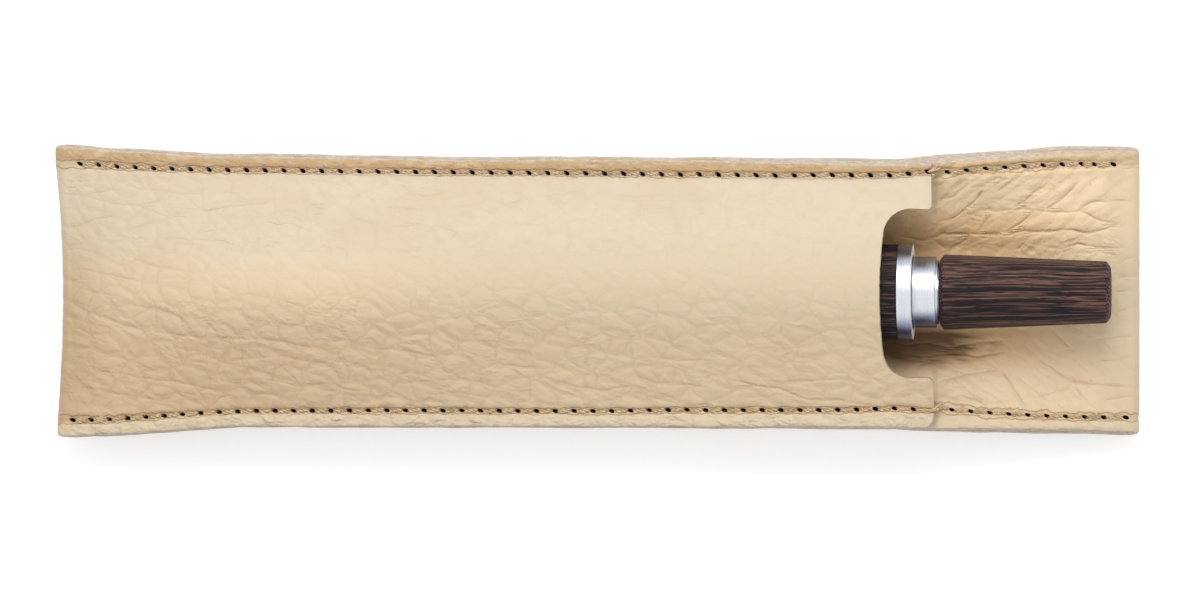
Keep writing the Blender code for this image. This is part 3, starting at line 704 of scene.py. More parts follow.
# The flap is painted darker in the notch on both sides of the ring (painted shade), in streaks under the
# knob (a painted shadow of the knob), and in a thin line where the mouth lies on it (a painted shadow line).
below_ring = smooth_step(np.hypot((x - 51) / 2.6, y + 9.2), 5.0, 1.2)
above_ring = smooth_step(np.hypot((x - 49) / 2.0, y - 8.8), 6.0, 1.0)
streaks = (smooth_step(np.hypot((x - 54.5) / 10.5, (y + 9.6) / 2.8), 1.1, 0.40)
           * smooth_step(wandering(x, y + x * 0.10, 4.5, 0.8, 71.7), -0.25, 0.10))
under_mouth = smooth_step(np.abs(x - MOUTH / MM - 0.20), 0.45, 0.1) * (np.abs(y) > 12.8)
painted_shade = in_flap * (below_ring + 0.25 * above_ring + 0.95 * streaks + 0.22 * under_mouth)

fields = {
    "mark": np.clip(mark, -CREASE_SIGHT, CREASE_SIGHT),
    "mark_depth": mark_depth * smooth_step(np.abs(mark), CREASE_SIGHT, 0.25),
    "slack": slack, "crumpled": crumpled, "fold": fold, "inside": in_flap, "seam": off_seam,
    "margin": smooth_step(off_seam, 0.2, 0.9) * np.sign(y) * (1 - 0.5 * in_flap),
    "painted_shade": np.minimum(painted_shade, 1)}

# Thickness: the strip is full but for its skived end, is pressed together at the margins, and
# is worn round along its cut edges.
PRESSED = 0.46
WORN_EDGE = (0.80, 0.95)
WORN_MOUTH = (0.84, 0.96)
thickness = np.array([flap_thickness(row[1]) if row[0] == "flap" else LEATHER for row in strip])
pressed = GAP * PRESSED * smooth_step(out_shares, 0.88, 0.97)
outer_half = thickness[:, None] / 2 + (layers == "flap")[:, None] * pressed
inner_half = thickness[:, None] / 2 + pressed
worn = np.ones((rows, columns))
for i in (0, 1):
    worn[:, [i, -1 - i]] = WORN_EDGE[i]
for i in (0, 1):
    worn[i] = np.minimum(worn[i], WORN_MOUTH[i])
outer = middle + normals * (outer_half * worn + height)[..., None]
inner = middle - normals * (inner_half * worn)[..., None]
outer[..., 2] = np.maximum(outer[..., 2], 0)

# The cut edges are not quite straight.
EDGE_WANDER = 0.00010
EDGE_WANDER_LENGTH = 0.004
RIM_LOOPS = 4
RIM_ROUGHNESS = 0.00007
RIM_BULGE = 0.00012
for points in (outer, inner):
    for r in range(rows):
        for c in (0, columns - 1):
            points[r, c, 1] += EDGE_WANDER * noise.noise((along_strip[r] / EDGE_WANDER_LENGTH, c, 2.5))
    for c in range(columns):
        points[0, c, 0] += EDGE_WANDER * noise.noise((c / 9, 7.5, 0.5))

around = ([(0, c) for c in range(columns)] + [(r, columns - 1) for r in range(1, rows)]
          + [(rows - 1, c) for c in range(columns - 2, -1, -1)] + [(r, 0) for r in range(rows - 2, 0, -1)])
ring_r, ring_c = np.array(around).T
inside_r, inside_c = np.clip(ring_r, 1, rows - 2), np.clip(ring_c, 1, columns - 2)
out_of_edge = middle[ring_r, ring_c] - middle[inside_r, inside_c]
out_of_edge /= np.linalg.norm(out_of_edge, axis=-1, keepdims=True)
loops = [ring_r * columns + ring_c]
points = [outer.reshape(-1, 3), inner.reshape(-1, 3)]
total = 2 * rows * columns
for k in range(1, RIM_LOOPS + 1):
    share = k / (RIM_LOOPS + 1)
    loop = outer[ring_r, ring_c] * (1 - share) + inner[ring_r, ring_c] * share
    rough = np.array([noise.noise((p / 2.3, k * 1.7, 11.1)) for p in range(len(loop))])
    loop += out_of_edge * (RIM_ROUGHNESS * rough + RIM_BULGE * math.sin(math.pi * share))[:, None]
    points.append(loop)
    loops.append(total + np.arange(len(loop)))
    total += len(loop)
loops.append(rows * columns + ring_r * columns + ring_c)

cell = np.arange((rows - 1) * (columns - 1))
corner = cell // (columns - 1) * columns + cell % (columns - 1)
grain_faces = np.stack((corner, corner + 1, corner + columns + 1, corner + columns), axis=1)
flesh_faces = grain_faces[:, ::-1] + rows * columns
rim_faces = np.concatenate([
    np.stack((np.roll(one, -1), one, other, np.roll(other, -1)), axis=1)
    for one, other in zip(loops, loops[1:])])


def mesh_from_quads(name, vertices, quads):
    mesh = bpy.data.meshes.new(name)
    mesh.vertices.add(len(vertices))
    mesh.vertices.foreach_set("co", np.ascontiguousarray(vertices, dtype=np.float32).ravel())
    mesh.loops.add(quads.size)
    mesh.loops.foreach_set("vertex_index", np.ascontiguousarray(quads, dtype=np.int32).ravel())
    mesh.polygons.add(len(quads))
    mesh.polygons.foreach_set("loop_start", np.arange(0, quads.size, 4, dtype=np.int32))
    mesh.update(calc_edges=True)
    mesh.validate()
    mesh.shade_smooth()
    return mesh


vertices = np.concatenate(points)
quads = np.concatenate((grain_faces, flesh_faces, rim_faces))
leather_mesh = mesh_from_quads("leather_strip", vertices, quads)
kinds = np.repeat((0, 1, 2), (len(grain_faces), len(flesh_faces), len(rim_faces)))
leather_mesh.polygons.foreach_set("material_index", kinds.astype(np.int32))
for name, values in fields.items():
    attribute = leather_mesh.attributes.new(name, 'FLOAT', 'POINT')
    spread_out = np.zeros(len(vertices), dtype=np.float32)
    spread_out[:rows * columns] = values.ravel()
    spread_out[rows * columns:2 * rows * columns] = values.ravel()
    attribute.data.foreach_set("value", spread_out)


ON_SEAM_STEP = 0.0004


def on_seam(side, x, under=False):
    """Point on the leather's grain side over a seam, its normal, and the way along the seam."""
    layer = "back" if under else "front" if x < MOUTH else "flap"
    use = np.flatnonzero(layers == layer)
    use = use[np.argsort(outer[use, seam_column[side], 0])]
    line, facing_out = outer[use, seam_column[side]], normals[use, seam_column[side]]
    place, normal, ahead, behind = (
        Vector([np.interp(at, line[:, 0], values[:, k]) for k in range(3)])
        for values, at in ((line, x), (facing_out, x), (line, x + ON_SEAM_STEP), (line, x - ON_SEAM_STEP)))
    return place, normal.normalized(), (ahead - behind).normalized()


# Holes and notch are cut from the finished strip.
HOLE_LENGTH = 0.00108
HOLE_WIDTH = 0.00058
HOLE_SLANT = {1: math.radians(-24), -1: math.radians(-14)}
HOLE_JITTER = 0.12
HOLE_TAPER = ((0.0009, 1.25), (-0.0001, 1.0), (-0.0013, 0.62))    # height, and share of the size
HOLE_SIDES = 12
NOTCH_FLARE = 0.0002
NOTCH_BOW = 0.0004
NOTCH_RAGGED = 0.00008
RAGGED_LENGTH = 0.0008
KNIFE_PAST = 0.004
KNIFE_WIDER = 0.002
NOTCH_LIPS = {1: 0.0003, -1: 0.0008}


def slanted(normal, forwards, slant):
    """Directions along and across a hole that leans to the seam's direction."""
    sideways = normal.cross(forwards)
    return (forwards * math.cos(slant) + sideways * math.sin(slant),
            sideways * math.cos(slant) - forwards * math.sin(slant))


def cut_hole(shape, side, x, under):
    place, normal, forwards = on_seam(side, x, under)
    long_way, short_way = slanted(normal, forwards, HOLE_SLANT[side] * (-1 if under else 1))
    jitter = 1 + HOLE_JITTER * noise.noise((x / 0.002, side, float(under)))
    ends = []
    for lift, size in HOLE_TAPER:
        ends.append([shape.verts.new(
            place + normal * lift
            + long_way * math.cos(math.tau * i / HOLE_SIDES) * HOLE_LENGTH / 2 * size * jitter
            + short_way * math.sin(math.tau * i / HOLE_SIDES) * HOLE_WIDTH / 2 * size * jitter)
            for i in range(HOLE_SIDES)])
    for one, other in zip(ends, ends[1:]):
        for i in range(HOLE_SIDES):
            j = (i + 1) % HOLE_SIDES
            shape.faces.new((one[i], other[i], other[j], one[j])).material_index = 1
    shape.faces.new(ends[0])
    shape.faces.new(ends[-1][::-1]).material_index = 1


def notch_lip(side):
    """Where the notch meets the mouth its corner is rounded; points from the mouth inwards."""
    rounding = NOTCH_LIPS[side]
    edge = MOUTH - side * SKEW * NOTCH_HALF / SEAM_HALF
    return [(edge - rounding * (1 - math.sin(a)), side * (NOTCH_HALF + rounding * (1 - math.cos(a))))
            for a in map(math.radians, (80, 64, 48, 32, 16, 0))]


def cut_notch(shape):
    """A block through the front panel only, with round corners and a slightly bowed end."""
    section = Section(MOUTH)
    share = np.array([0, NOTCH_HALF / SEAM_HALF])
    low = (section.back(share)[1][1] + LAYER + section.front(share)[1][1]) / 2
    high = section.top + KNIFE_PAST
    inner_x = MOUTH - NOTCH_DEPTH
    outline = [(MOUTH + KNIFE_PAST, side * (NOTCH_HALF + KNIFE_WIDER)) for side in (-1, 1)] + notch_lip(1)
    corner = [math.radians(a) for a in range(0, 91, 9)]
    outline += [(inner_x + NOTCH_ROUND * (1 - math.sin(a)), NOTCH_HALF - NOTCH_ROUND * (1 - math.cos(a)))
                for a in corner]
    reach = NOTCH_HALF - NOTCH_ROUND
    outline += [(inner_x, reach * (1 - i / 24)) for i in range(1, 48)]
    outline += [(inner_x + NOTCH_ROUND * (1 - math.sin(a)), -NOTCH_HALF + NOTCH_ROUND * (1 - math.cos(a)))
                for a in reversed(corner)] + notch_lip(-1)[::-1]
    bowed = []
    for x, y in outline:
        bow = NOTCH_BOW * max(1 - (y / reach) ** 2, 0) if x < MOUTH else 0
        ragged = NOTCH_RAGGED * noise.noise((x / RAGGED_LENGTH, y / RAGGED_LENGTH, 6.5))
        ragged = ragged if x < MOUTH + KNIFE_WIDER else 0
        bowed.append((x - bow + ragged, y + ragged))
    middle_y = [min(max(y, -reach), reach) for _, y in bowed]
    top = [shape.verts.new((x - (NOTCH_FLARE if x < MOUTH - NOTCH_ROUND / 2 else 0),
                            y + (y - centre) / NOTCH_ROUND * NOTCH_FLARE, high))
           for (x, y), centre in zip(bowed, middle_y)]
    bottom = [shape.verts.new((x, y, low)) for x, y in bowed]
    shape.faces.new(top)
    shape.faces.new(bottom[::-1])
    for i in range(len(top)):
        j = (i + 1) % len(top)
        shape.faces.new((top[i], bottom[i], bottom[j], top[j]))


cutting = bmesh.new()
cut_notch(cutting)
for side in (1, -1):
    for x in hole_places(side):
        for under in (False, True):
            cut_hole(cutting, side, x, under)
bmesh.ops.recalc_face_normals(cutting, faces=cutting.faces)
cutter_mesh = bpy.data.meshes.new("awl_and_knife")
cutting.to_mesh(cutter_mesh)
cutting.free()
cutter = put_in_scene("awl_and_knife", cutter_mesh)
leather = put_in_scene("leather_strip", leather_mesh)


def new_finish(name):
    """A node tree, its material, and where on the piece each point of the surface lies."""
    finish = bpy.data.materials.new(name)
    finish.use_nodes = True
    tree = Shade(finish.node_tree)
    return tree, finish, tree.node("TexCoord", {}, {}, "Object")


def set_finish(tree, bump_distance=0.0002, height=None, fixed={}, **varying):
    """Links what varies over the surface to the shader, and sets what doesn't."""
    shader = tree.tree.nodes["Principled BSDF"]
    for name, value in varying.items():
        tree.tree.links.new(value.socket, shader.inputs[name.replace("_", " ")])
    for name, value in fixed.items():
        shader.inputs[name].default_value = value
    if height:
        bump = tree.node("Bump", {}, {"Distance": bump_distance, "Height": height})
        tree.tree.links.new(bump.socket, shader.inputs["Normal"])


def layered(tone, *coats):
    """Colours laid over tone one after another, each with how much of it shows."""
    for amount, colour in coats:
        tone = amount.blend(tone, colour)
    return tone


def cloud(place, scale, detail=3.0, roughness=0.55, turn=0.0, output=0):
    """Noise over a place that is first turned, and scaled by one number or by one for each axis."""
    scale = scale if isinstance(scale, tuple) else (scale,) * 3
    place = place.node("Mapping", {}, {"Vector": place, "Rotation": (0, 0, turn), "Scale": scale})
    return place.node("TexNoise", {}, {"Vector": place, "Scale": 1.0, "Detail": detail,
                                       "Roughness": roughness}, output)


def stretched(place, turn, sizes):
    """A place in a pattern that is stretched to the given sizes and turned by so many degrees."""
    return place.node("Mapping", {"vector_type": 'TEXTURE'}, {
        "Vector": place, "Rotation": (0, 0, math.radians(turn)), "Scale": sizes})


def cells(place, turn, sizes):
    """How near a border in a net of stretched cells is, and each cell's puffed-up level."""
    place = stretched(place, turn, sizes)
    border = place.node("TexVoronoi", {"feature": 'DISTANCE_TO_EDGE'},
                        {"Vector": place, "Scale": 1.0}, "Distance")
    level = place.node("TexVoronoi", {}, {"Vector": place, "Scale": 1.0}, "Color")
    return border.between(0.09, 0.0), border.between(0.0, 0.34) * (0.7 + level * 0.6)


def stored(tree, name):
    return tree.node("Attribute", {"attribute_name": name}, {}, "Fac")


HIDE = (0.735, 0.575, 0.375, 1)
HIDE_RIDGE = (0.655, 0.535, 0.365, 1)
HIDE_PALE = (0.700, 0.585, 0.425, 1)
HIDE_WARM = (0.640, 0.462, 0.280, 1)
HIDE_FLAP = (0.890, 0.690, 0.435, 1)
HIDE_FLAP_LOW = (0.745, 0.580, 0.380, 1)
HIDE_IN_PAINTED_SHADE = (0.900, 0.580, 0.290, 1)
HIDE_FOLD_SHADE = (0.500, 0.345, 0.200, 1)
HIDE_UPPER_MARGIN = (0.560, 0.380, 0.198, 1)
HIDE_CREAM = (0.680, 0.560, 0.390, 1)
CREASE_BROWN = (0.455, 0.240, 0.090, 1)
# colour of the painted shade and painted shadows on the flap round the ring, under the knob and at the mouth
PAINTED_SHADE_BROWN = (0.140, 0.070, 0.032, 1)
FLESH = (0.640, 0.490, 0.330, 1)
FLESH_DARK = (0.520, 0.380, 0.240, 1)
FLESH_FIBRE = (700, 700, 700)
RAW_EDGE = (0.740, 0.640, 0.540, 1)
RAW_EDGE_DARK = (0.560, 0.450, 0.350, 1)
RAW_EDGE_FIBRE = (1000, 1500, 1700)
HOLE_SHADOW_BLACK = (0.020, 0.012, 0.007, 1)
HOLE_SHADOW_BROWN = (0.050, 0.028, 0.014, 1)


def grain_finish():
    tree, finish, place = new_finish("leather_grain")
    along, aside = (tree.node("SeparateXYZ", {}, {0: place}, way) for way in (0, 1))
    slack, crumpled, fold, inside, seam, margin, painted_shade, mark, mark_depth = (
        stored(tree, name) for name in ("slack", "crumpled", "fold", "inside", "seam", "margin",
                                        "painted_shade", "mark", "mark_depth"))
    wander = tree.vectors('SUBTRACT', cloud(place, 300, output=1), (0.5, 0.5, 0.5))
    bent = tree.vectors('ADD', place, tree.vectors('MULTIPLY', wander, (0.0018, 0.0018, 0.0018)))
    patches = cloud(place, (110, 200, 200), 2).between(0.36, 0.62)
    broken = cloud(place, (210, 420, 300), 2).between(0.47, 0.60)
    mottle = cloud(place, (55, 80, 80), 4)
    blotches = cloud(place, (480, 620, 620), 3).between(0.45, 0.75)
    speckle = cloud(place, 1900, 2)
    wavy = cloud(place, 620, 2)
    rubbed = cloud(place, (330, 760, 760), 3, 0.65).between(0.46, 0.64)

    # Nets of puffed-up cells: on the front, above and below the pen on the flap, and finer ones.
    front_line, front_puff = cells(bent, -17, (0.0043, 0.0027, 0.0040))
    upper_line, upper_puff = cells(bent, 34, (0.0052, 0.0020, 0.0040))
    lower_line, lower_puff = cells(bent, -41, (0.0056, 0.0024, 0.0040))
    _, cross_puff = cells(bent, -13, (0.0044, 0.0015, 0.0030))
    _, fine_puff = cells(bent, -8, (0.0017, 0.0009, 0.0012))
    above = aside.between(-0.002, 0.002)
    flap_line, flap_puff = (one * above + other * (1.0 - above) for one, other in (
        (upper_line, lower_line), (upper_puff, lower_puff)))

    # Lines: creases, folds of the flap, the thread's pull beside the seam, and drawn-out wrinkles.
    crease = abs(mark).between(0.15, 0.0) * mark_depth
    valley = abs(mark).between(0.42, 0.0) * mark_depth
    fold_line = fold.between(0.40, 0.95) * crumpled * (0.20 + patches * 0.20)
    beside_seam = abs(abs(seam) - wavy * 1.35).between(0.18, 0.0) * mottle.between(0.25, 0.50) * 0.68
    near_seam = abs(seam).between(0.55, 0.1) * 0.30
    drawn_out = abs(cloud(stretched(bent, -4, (0.0150, 0.0019, 0.0060)), 1, 2) - 0.5).between(0.017, 0.0)
    pulled = drawn_out * patches * broken * aside.between(0.003, 0.009) * (1.0 - crumpled) * (
        slack * 0.5 + along.between(0.020, -0.030))

    # Colour: paler past the pen, partly painted light, and darker along the pen's ridge, painted shade;
    # warmer and darker in painted shade round the ring and beside the pen in the notch.
    flap_tone = layered(
        # the flap's own more orange tone, made brighter as painted light against the shade it lies in, most
        # above the pen, where it turns from the lamp
        aside.between(-0.006, 0.006).blend(HIDE_FLAP_LOW, HIDE_FLAP),
        # darker towards the flap's end
        (along.between(0.0785, 0.0830) * 0.5, HIDE_RIDGE),
        # painted shade: warmer and darker beside the pen just past the mouth
        (along.between(0.082, 0.060) * abs(aside).between(0.0150, 0.0090) * 0.85, HIDE_IN_PAINTED_SHADE))
    on_ridge = aside.between(-0.007, -0.001) * aside.between(0.011, 0.003) * along.between(-0.045, -0.010)
    browned = (crease * (crumpled * 0.38 + 0.42)).most(front_line * slack * 0.18).most(fold_line).most(
        flap_line * crumpled * patches * 0.12).most(pulled * 0.20).most(beside_seam).most(near_seam)
    colour = layered(
        # paler on the upper half, which faces the lamp, and warmer and darker on the lower left, which turns
        # from it: painted light and shade
        aside.between(0.000, 0.010).blend(HIDE, HIDE_PALE),
        (aside.between(0.004, -0.014) * along.between(0.010, -0.080), HIDE_WARM),
        (inside, flap_tone),
        # painted shade where the closed end curves down to its fold
        (along.between(-0.074, -0.087) * aside.between(0.016, -0.004) * 0.80, HIDE_FOLD_SHADE),
        (mottle.between(0.42, 0.75) * 0.30, HIDE_WARM),
        (blotches * 0.22, HIDE_WARM),
        # painted shade along the ridge over the pen, where the lamp lights it most
        (on_ridge * (1.0 - crumpled) * 0.8, HIDE_RIDGE),
        # the upper margin darker and browner, with rubbed patches of plain hide, and the lower margin paler
        (margin.between(0.0, 1.0), HIDE_UPPER_MARGIN),
        (margin.between(0.0, 1.0) * rubbed * 0.42, HIDE),
        (margin.between(0.0, -1.0), HIDE_CREAM),
        # painted shade round the ring and at the mouth, and a painted shadow of the knob in streaks
        (painted_shade * 0.88, PAINTED_SHADE_BROWN),
        (browned, CREASE_BROWN))
    level = (slack * front_puff * 0.66 + crumpled * (flap_puff * 0.46 + cross_puff * patches * 0.24)
             + fine_puff * patches * (slack * 0.14 + crumpled * 0.05 + 0.06) + speckle * 0.05
             - valley * (crumpled * 0.35 + 0.40) - beside_seam * 0.6 - pulled * 0.12
             + abs(margin) * (fine_puff * 0.30 + front_puff * 0.35))
    rough = 0.47 + mottle * 0.12 + crease * 0.1
    set_finish(tree, 0.00024, level, {"Specular IOR Level": 0.4}, Base_Color=colour, Roughness=rough)
    return finish


def suede_finish(name, pale, dark, fibre):
    tree, finish, place = new_finish(name)
    fibres = cloud(place, fibre, 4, 0.7)
    specks = cloud(place, 1500, 3, 0.6)
    tone = layered(fibres.between(0.38, 0.66).blend(dark, pale),
                   (specks.between(0.60, 0.72) * 0.6, CREASE_BROWN))
    set_finish(tree, 0.0002, fibres + specks * 0.4, {"Specular IOR Level": 0.2},
               Base_Color=tone, Roughness=0.85 + specks * 0.1)
    return finish


def hole_finish():
    # The hole's walls are painted near black: painted shade of the deep, narrow hole.
    tree, finish, place = new_finish("pricked_hole")
    shade = cloud(place, 2500, 2)
    set_finish(tree, Base_Color=shade.between(0.3, 0.7).blend(HOLE_SHADOW_BLACK, HOLE_SHADOW_BROWN),
               Roughness=0.9 + shade * 0.05)
    return finish


grain = grain_finish()
flesh = suede_finish("leather_flesh", FLESH, FLESH_DARK, FLESH_FIBRE)
raw_edge = suede_finish("leather_raw_edge", RAW_EDGE, RAW_EDGE_DARK, RAW_EDGE_FIBRE)
pricked = hole_finish()
for finish in (grain, flesh, raw_edge):
    leather_mesh.materials.append(finish)
for finish in (raw_edge, pricked):
    cutter_mesh.materials.append(finish)
cut = leather.modifiers.new("Holes and notch", 'BOOLEAN')
cut.operation = 'DIFFERENCE'
cut.solver = 'MANIFOLD'
cut.material_mode = 'TRANSFER'
cut.object = cutter
finished = bpy.data.meshes.new_from_object(leather.evaluated_get(bpy.context.evaluated_depsgraph_get()))
leather.modifiers.clear()
leather.data = finished
finished.set_sharp_from_angle(angle=math.radians(48))
bpy.data.objects.remove(cutter)
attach(leather, "case")
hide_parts("leather_wrap")

# Seam threads
# Waxed linen of two plies, one needle thread and one bobbin thread along each seam. Every
# stitch dips into its holes, and the ends are locked by stitches sewn twice.
STRAND = 0.00036
PLY_TURN = 0.0017
THREAD_LIFT = 0.00020
THREAD_SINK = 0.0011
STITCH_SHORT = 0.00030
STITCH_POINTS = 19
STRAND_SIDES = 7
STITCH_SLANT = 0.00032
STITCH_DIVE = 0.17           # share of a stitch at each end that goes down into its hole
PLY_APART = 0.44
THREAD_END = 0.45
MOUTH_CLIMB = 0.0009
LOCKED = 2
LOCKED_SHIFTS = (0.00020, -0.00018)
SHIFT = 0.00004
TAIL_START = 0.0007
TAIL_LENGTH = 0.0021
TAIL_ARCH = 0.0009
TAIL_SPREAD = 0.0013
LINEN = (0.760, 0.600, 0.400, 1)
LINEN_SHADE = (0.440, 0.295, 0.160, 1)
LINEN_STAIN = (0.330, 0.205, 0.100, 1)


def tubes(name, paths, sides, radius, guide=Vector((0, 0, 1))):
    """One mesh of round-ended tubes along lists of points, none of which runs along guide."""
    vertices, faces = [], []
    for path in paths:
        first = len(vertices)
        for i, point in enumerate(path):
            ahead = (path[min(i + 1, len(path) - 1)] - path[max(i - 1, 0)]).normalized()
            sideways = ahead.cross(guide).normalized()
            upward = sideways.cross(ahead)
            narrow = THREAD_END if i in (0, len(path) - 1) else 1
            for k in range(sides):
                turn = math.tau * k / sides
                vertices.append(point + (sideways * math.cos(turn) + upward * math.sin(turn))
                                * radius * narrow)
        for i in range(len(path) - 1):
            for k in range(sides):
                a, b = first + i * sides + k, first + i * sides + (k + 1) % sides
                faces.append((a, a + sides, b + sides, b))
        faces.append(tuple(first + k for k in range(sides)))
        faces.append(tuple(first + (len(path) - 1) * sides + k for k in reversed(range(sides))))
    mesh = bpy.data.meshes.new(name)
    mesh.from_pydata(vertices, [], faces)
    mesh.shade_smooth()
    return put_in_scene(name, mesh)


def stitch_middle(side, start, end, under, shift):
    """Points of one stitch's middle line, from in one hole to in the next, with normals."""
    line = []
    for i in range(STITCH_POINTS):
        share = i / (STITCH_POINTS - 1)
        x = start + STITCH_SHORT + (end - start - 2 * STITCH_SHORT) * share
        place, normal, forwards = on_seam(side, x, under)
        if not under and start < MOUTH < end:
            edge_place = on_seam(side, MOUTH - 0.0001, False)[0]
            over_edge = smooth_step(x, MOUTH + MOUTH_CLIMB, MOUTH)
            place.x = x
            place.z = max(place.z, edge_place.z * over_edge + place.z * (1 - over_edge))
        sideways = normal.cross(forwards)
        slant = (share - 0.5) * STITCH_SLANT * (-1 if under else 1)
        out_of_hole = smooth_step(share, 0, STITCH_DIVE) * smooth_step(share, 1, 1 - STITCH_DIVE)
        lift = (THREAD_LIFT * (0.7 + 0.3 * math.sin(math.pi * share)) * out_of_hole
                - THREAD_SINK * (1 - out_of_hole))
        line.append((place + normal * lift + sideways * (slant + shift), normal, sideways))
    return line


def stitch_plies(middle, phase):
    plies = []
    run = 0.0
    turns = []
    for i, (point, _, _) in enumerate(middle):
        run += (point - middle[i - 1][0]).length if i else 0
        turns.append(math.tau * run / PLY_TURN + phase)
    for half in (0, math.pi):
        plies.append([point + (normal * math.sin(turn + half) + sideways * math.cos(turn + half))
                      * STRAND * PLY_APART for (point, normal, sideways), turn in zip(middle, turns)])
    return plies


def seam_paths(side, under):
    places = hole_places(side)
    paths = []
    for i, (start, end) in enumerate(zip(places, places[1:])):
        phase = 1.9 * i + 0.6 * side
        twice = i < LOCKED or i >= len(places) - 1 - LOCKED
        shifts = LOCKED_SHIFTS if twice else (SHIFT * noise.noise((i * 1.3, side, 0.5)),)
        for shift in shifts:
            paths += stitch_plies(stitch_middle(side, start, end, under, shift), phase + shift * 9000)
    return paths


def thread_finish():
    tree, finish, place = new_finish("waxed_linen")
    fibres = cloud(place, (1800, 5200, 5200), 3, 0.6, math.radians(35))
    stain = cloud(place, 420, 2)
    tone = layered(fibres.between(0.35, 0.65).blend(LINEN_SHADE, LINEN),
                   (stain.between(0.50, 0.70) * 0.45, LINEN_STAIN))
    set_finish(tree, 0.00008, fibres, {"Specular IOR Level": 0.35}, Base_Color=tone,
               Roughness=0.62 + stain * 0.15)
    return finish


linen = thread_finish()
for side, seam in ((1, "upper"), (-1, "lower")):
    for under, kind in ((False, "needle"), (True, "bobbin")):
        paths = seam_paths(side, under)
        if not under:
            # Where the thread was joined at the mouth, two cut ends stand out of it.
            place, normal, forwards = on_seam(side, MOUTH - TAIL_START)
            sideways = normal.cross(forwards)
            for lean in (0.35, 1.0):
                paths.append([place + normal * (THREAD_LIFT + TAIL_ARCH * t * (1 - t))
                              + forwards * TAIL_LENGTH * t + sideways * TAIL_SPREAD * lean * t ** 1.5
                              for t in np.linspace(0, 1, 8)])
        thread = tubes(f"{seam}_seam_{kind}_stitches", paths, STRAND_SIDES, STRAND / 2)
        thread.data.materials.append(linen)
        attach(thread, "case")
        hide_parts(f"{seam}_seam_{kind}_thread")

# Pen
# Its pieces are turned, so each is one outline swept round the pen's axis. The axis climbs a
# little towards the knob, because the barrel rests on the back panel and on the flap's end.
RING_INSET = 0.0030
RING_WIDTH = 0.0023
SWEEP_STEPS = 96
CORNER_STEPS = 4
HAIRLINE = 0.00005

pen_frame = Matrix.Translation((0, 0, REST_HEIGHT - BARREL_FRONT * PITCH_RISE)) @ Matrix.Rotation(
    -math.atan(PITCH_RISE), 4, 'Y')


def rounded_outline(corners):
    """(place, diameter, rounding) corners as points, each corner swept through its rounding."""
    points = [Vector((place, diameter / 2)) for place, diameter, _ in corners]
    outline = []
    for i, (point, (_, _, rounding)) in enumerate(zip(points, corners)):
        if rounding == 0:
            outline.append(point)
            continue
        back = (points[i - 1] - point).normalized() * rounding
        on = (points[(i + 1) % len(points)] - point).normalized() * rounding
        for k in range(CORNER_STEPS + 1):
            t = k / CORNER_STEPS
            outline.append(point + back * (1 - t) ** 2 + on * t ** 2)
    return outline


def turned_piece(name, corners, finish, body, node, end_finish=None):
    outline = rounded_outline(corners)
    hollow = all(point.y > 0 for point in outline)
    shape = bmesh.new()
    rings = []
    for point in outline:
        if point.y <= 0:
            rings.append([shape.verts.new(pen_frame @ Vector((point.x, 0, 0)))])
        else:
            rings.append([shape.verts.new(pen_frame @ Vector((
                point.x, point.y * math.cos(math.tau * k / SWEEP_STEPS),
                point.y * math.sin(math.tau * k / SWEEP_STEPS)))) for k in range(SWEEP_STEPS)])
    pairs = list(zip(rings, rings[1:])) + ([(rings[-1], rings[0])] if hollow else [])
    for one, other in pairs:
        for k in range(SWEEP_STEPS):
            j = (k + 1) % SWEEP_STEPS
            around = [ring[i % len(ring)] for ring, i in ((one, k), (one, j), (other, j), (other, k))]
            shape.faces.new(list(dict.fromkeys(around)))
    bmesh.ops.recalc_face_normals(shape, faces=shape.faces)
    mesh = bpy.data.meshes.new(name)
    shape.to_mesh(mesh)
    shape.free()
    mesh.shade_smooth()
    mesh.set_sharp_from_angle(angle=math.radians(35))
    mesh.materials.append(finish)
    ways = np.array([(vert.co.y, (pen_frame.inverted() @ vert.co).z) for vert in mesh.vertices])
    flank = mesh.attributes.new("flank", 'FLOAT', 'POINT')
    flank.data.foreach_set("value", ways[:, 0] / np.maximum(np.hypot(*ways.T), HAIRLINE))
    if end_finish:
        mesh.materials.append(end_finish)
        for face in mesh.polygons:
            if face.normal.x > 0.9:
                face.material_index = 1
    piece = put_in_scene(name, mesh)
    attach(piece, body)
    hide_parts(node)
    return piece


# Barrel and knob
# Turned from one dark, striped hardwood with open pores, and left nearly matt. The barrel's wood is painted
# darker than the knob's: painted shade of the pocket it lies in.
BARREL_BORE = 0.0114
BUSH_WALL = 0.0009
RING_BUSH_LENGTH = 0.0078
NECK_SHOWN = 0.0037
GROOVE_WIDTH = 0.0005
KNOB = 0.0119
KNOB_END = 0.0099
KNOB_LENGTH = 0.0269
KNOB_BORE = 0.0086
KNOB_BORE_DEPTH = 0.0181
KNOB_PALE = (0.150, 0.078, 0.058, 1)
KNOB_HEART = (0.014, 0.0090, 0.0115, 1)
BARREL_SHADED_PALE = (0.060, 0.034, 0.034, 1)
BARREL_SHADED_HEART = (0.010, 0.0075, 0.0110, 1)
FIBRE_GLINT = (0.270, 0.148, 0.104, 1)
PORE_BLACK = (0.014, 0.009, 0.011, 1)
RING_REAR = MOUTH - RING_INSET
RING_FRONT = RING_REAR - RING_WIDTH
NECK_REAR = RING_REAR + NECK_SHOWN
KNOB_FRONT = NECK_REAR + GROOVE_WIDTH


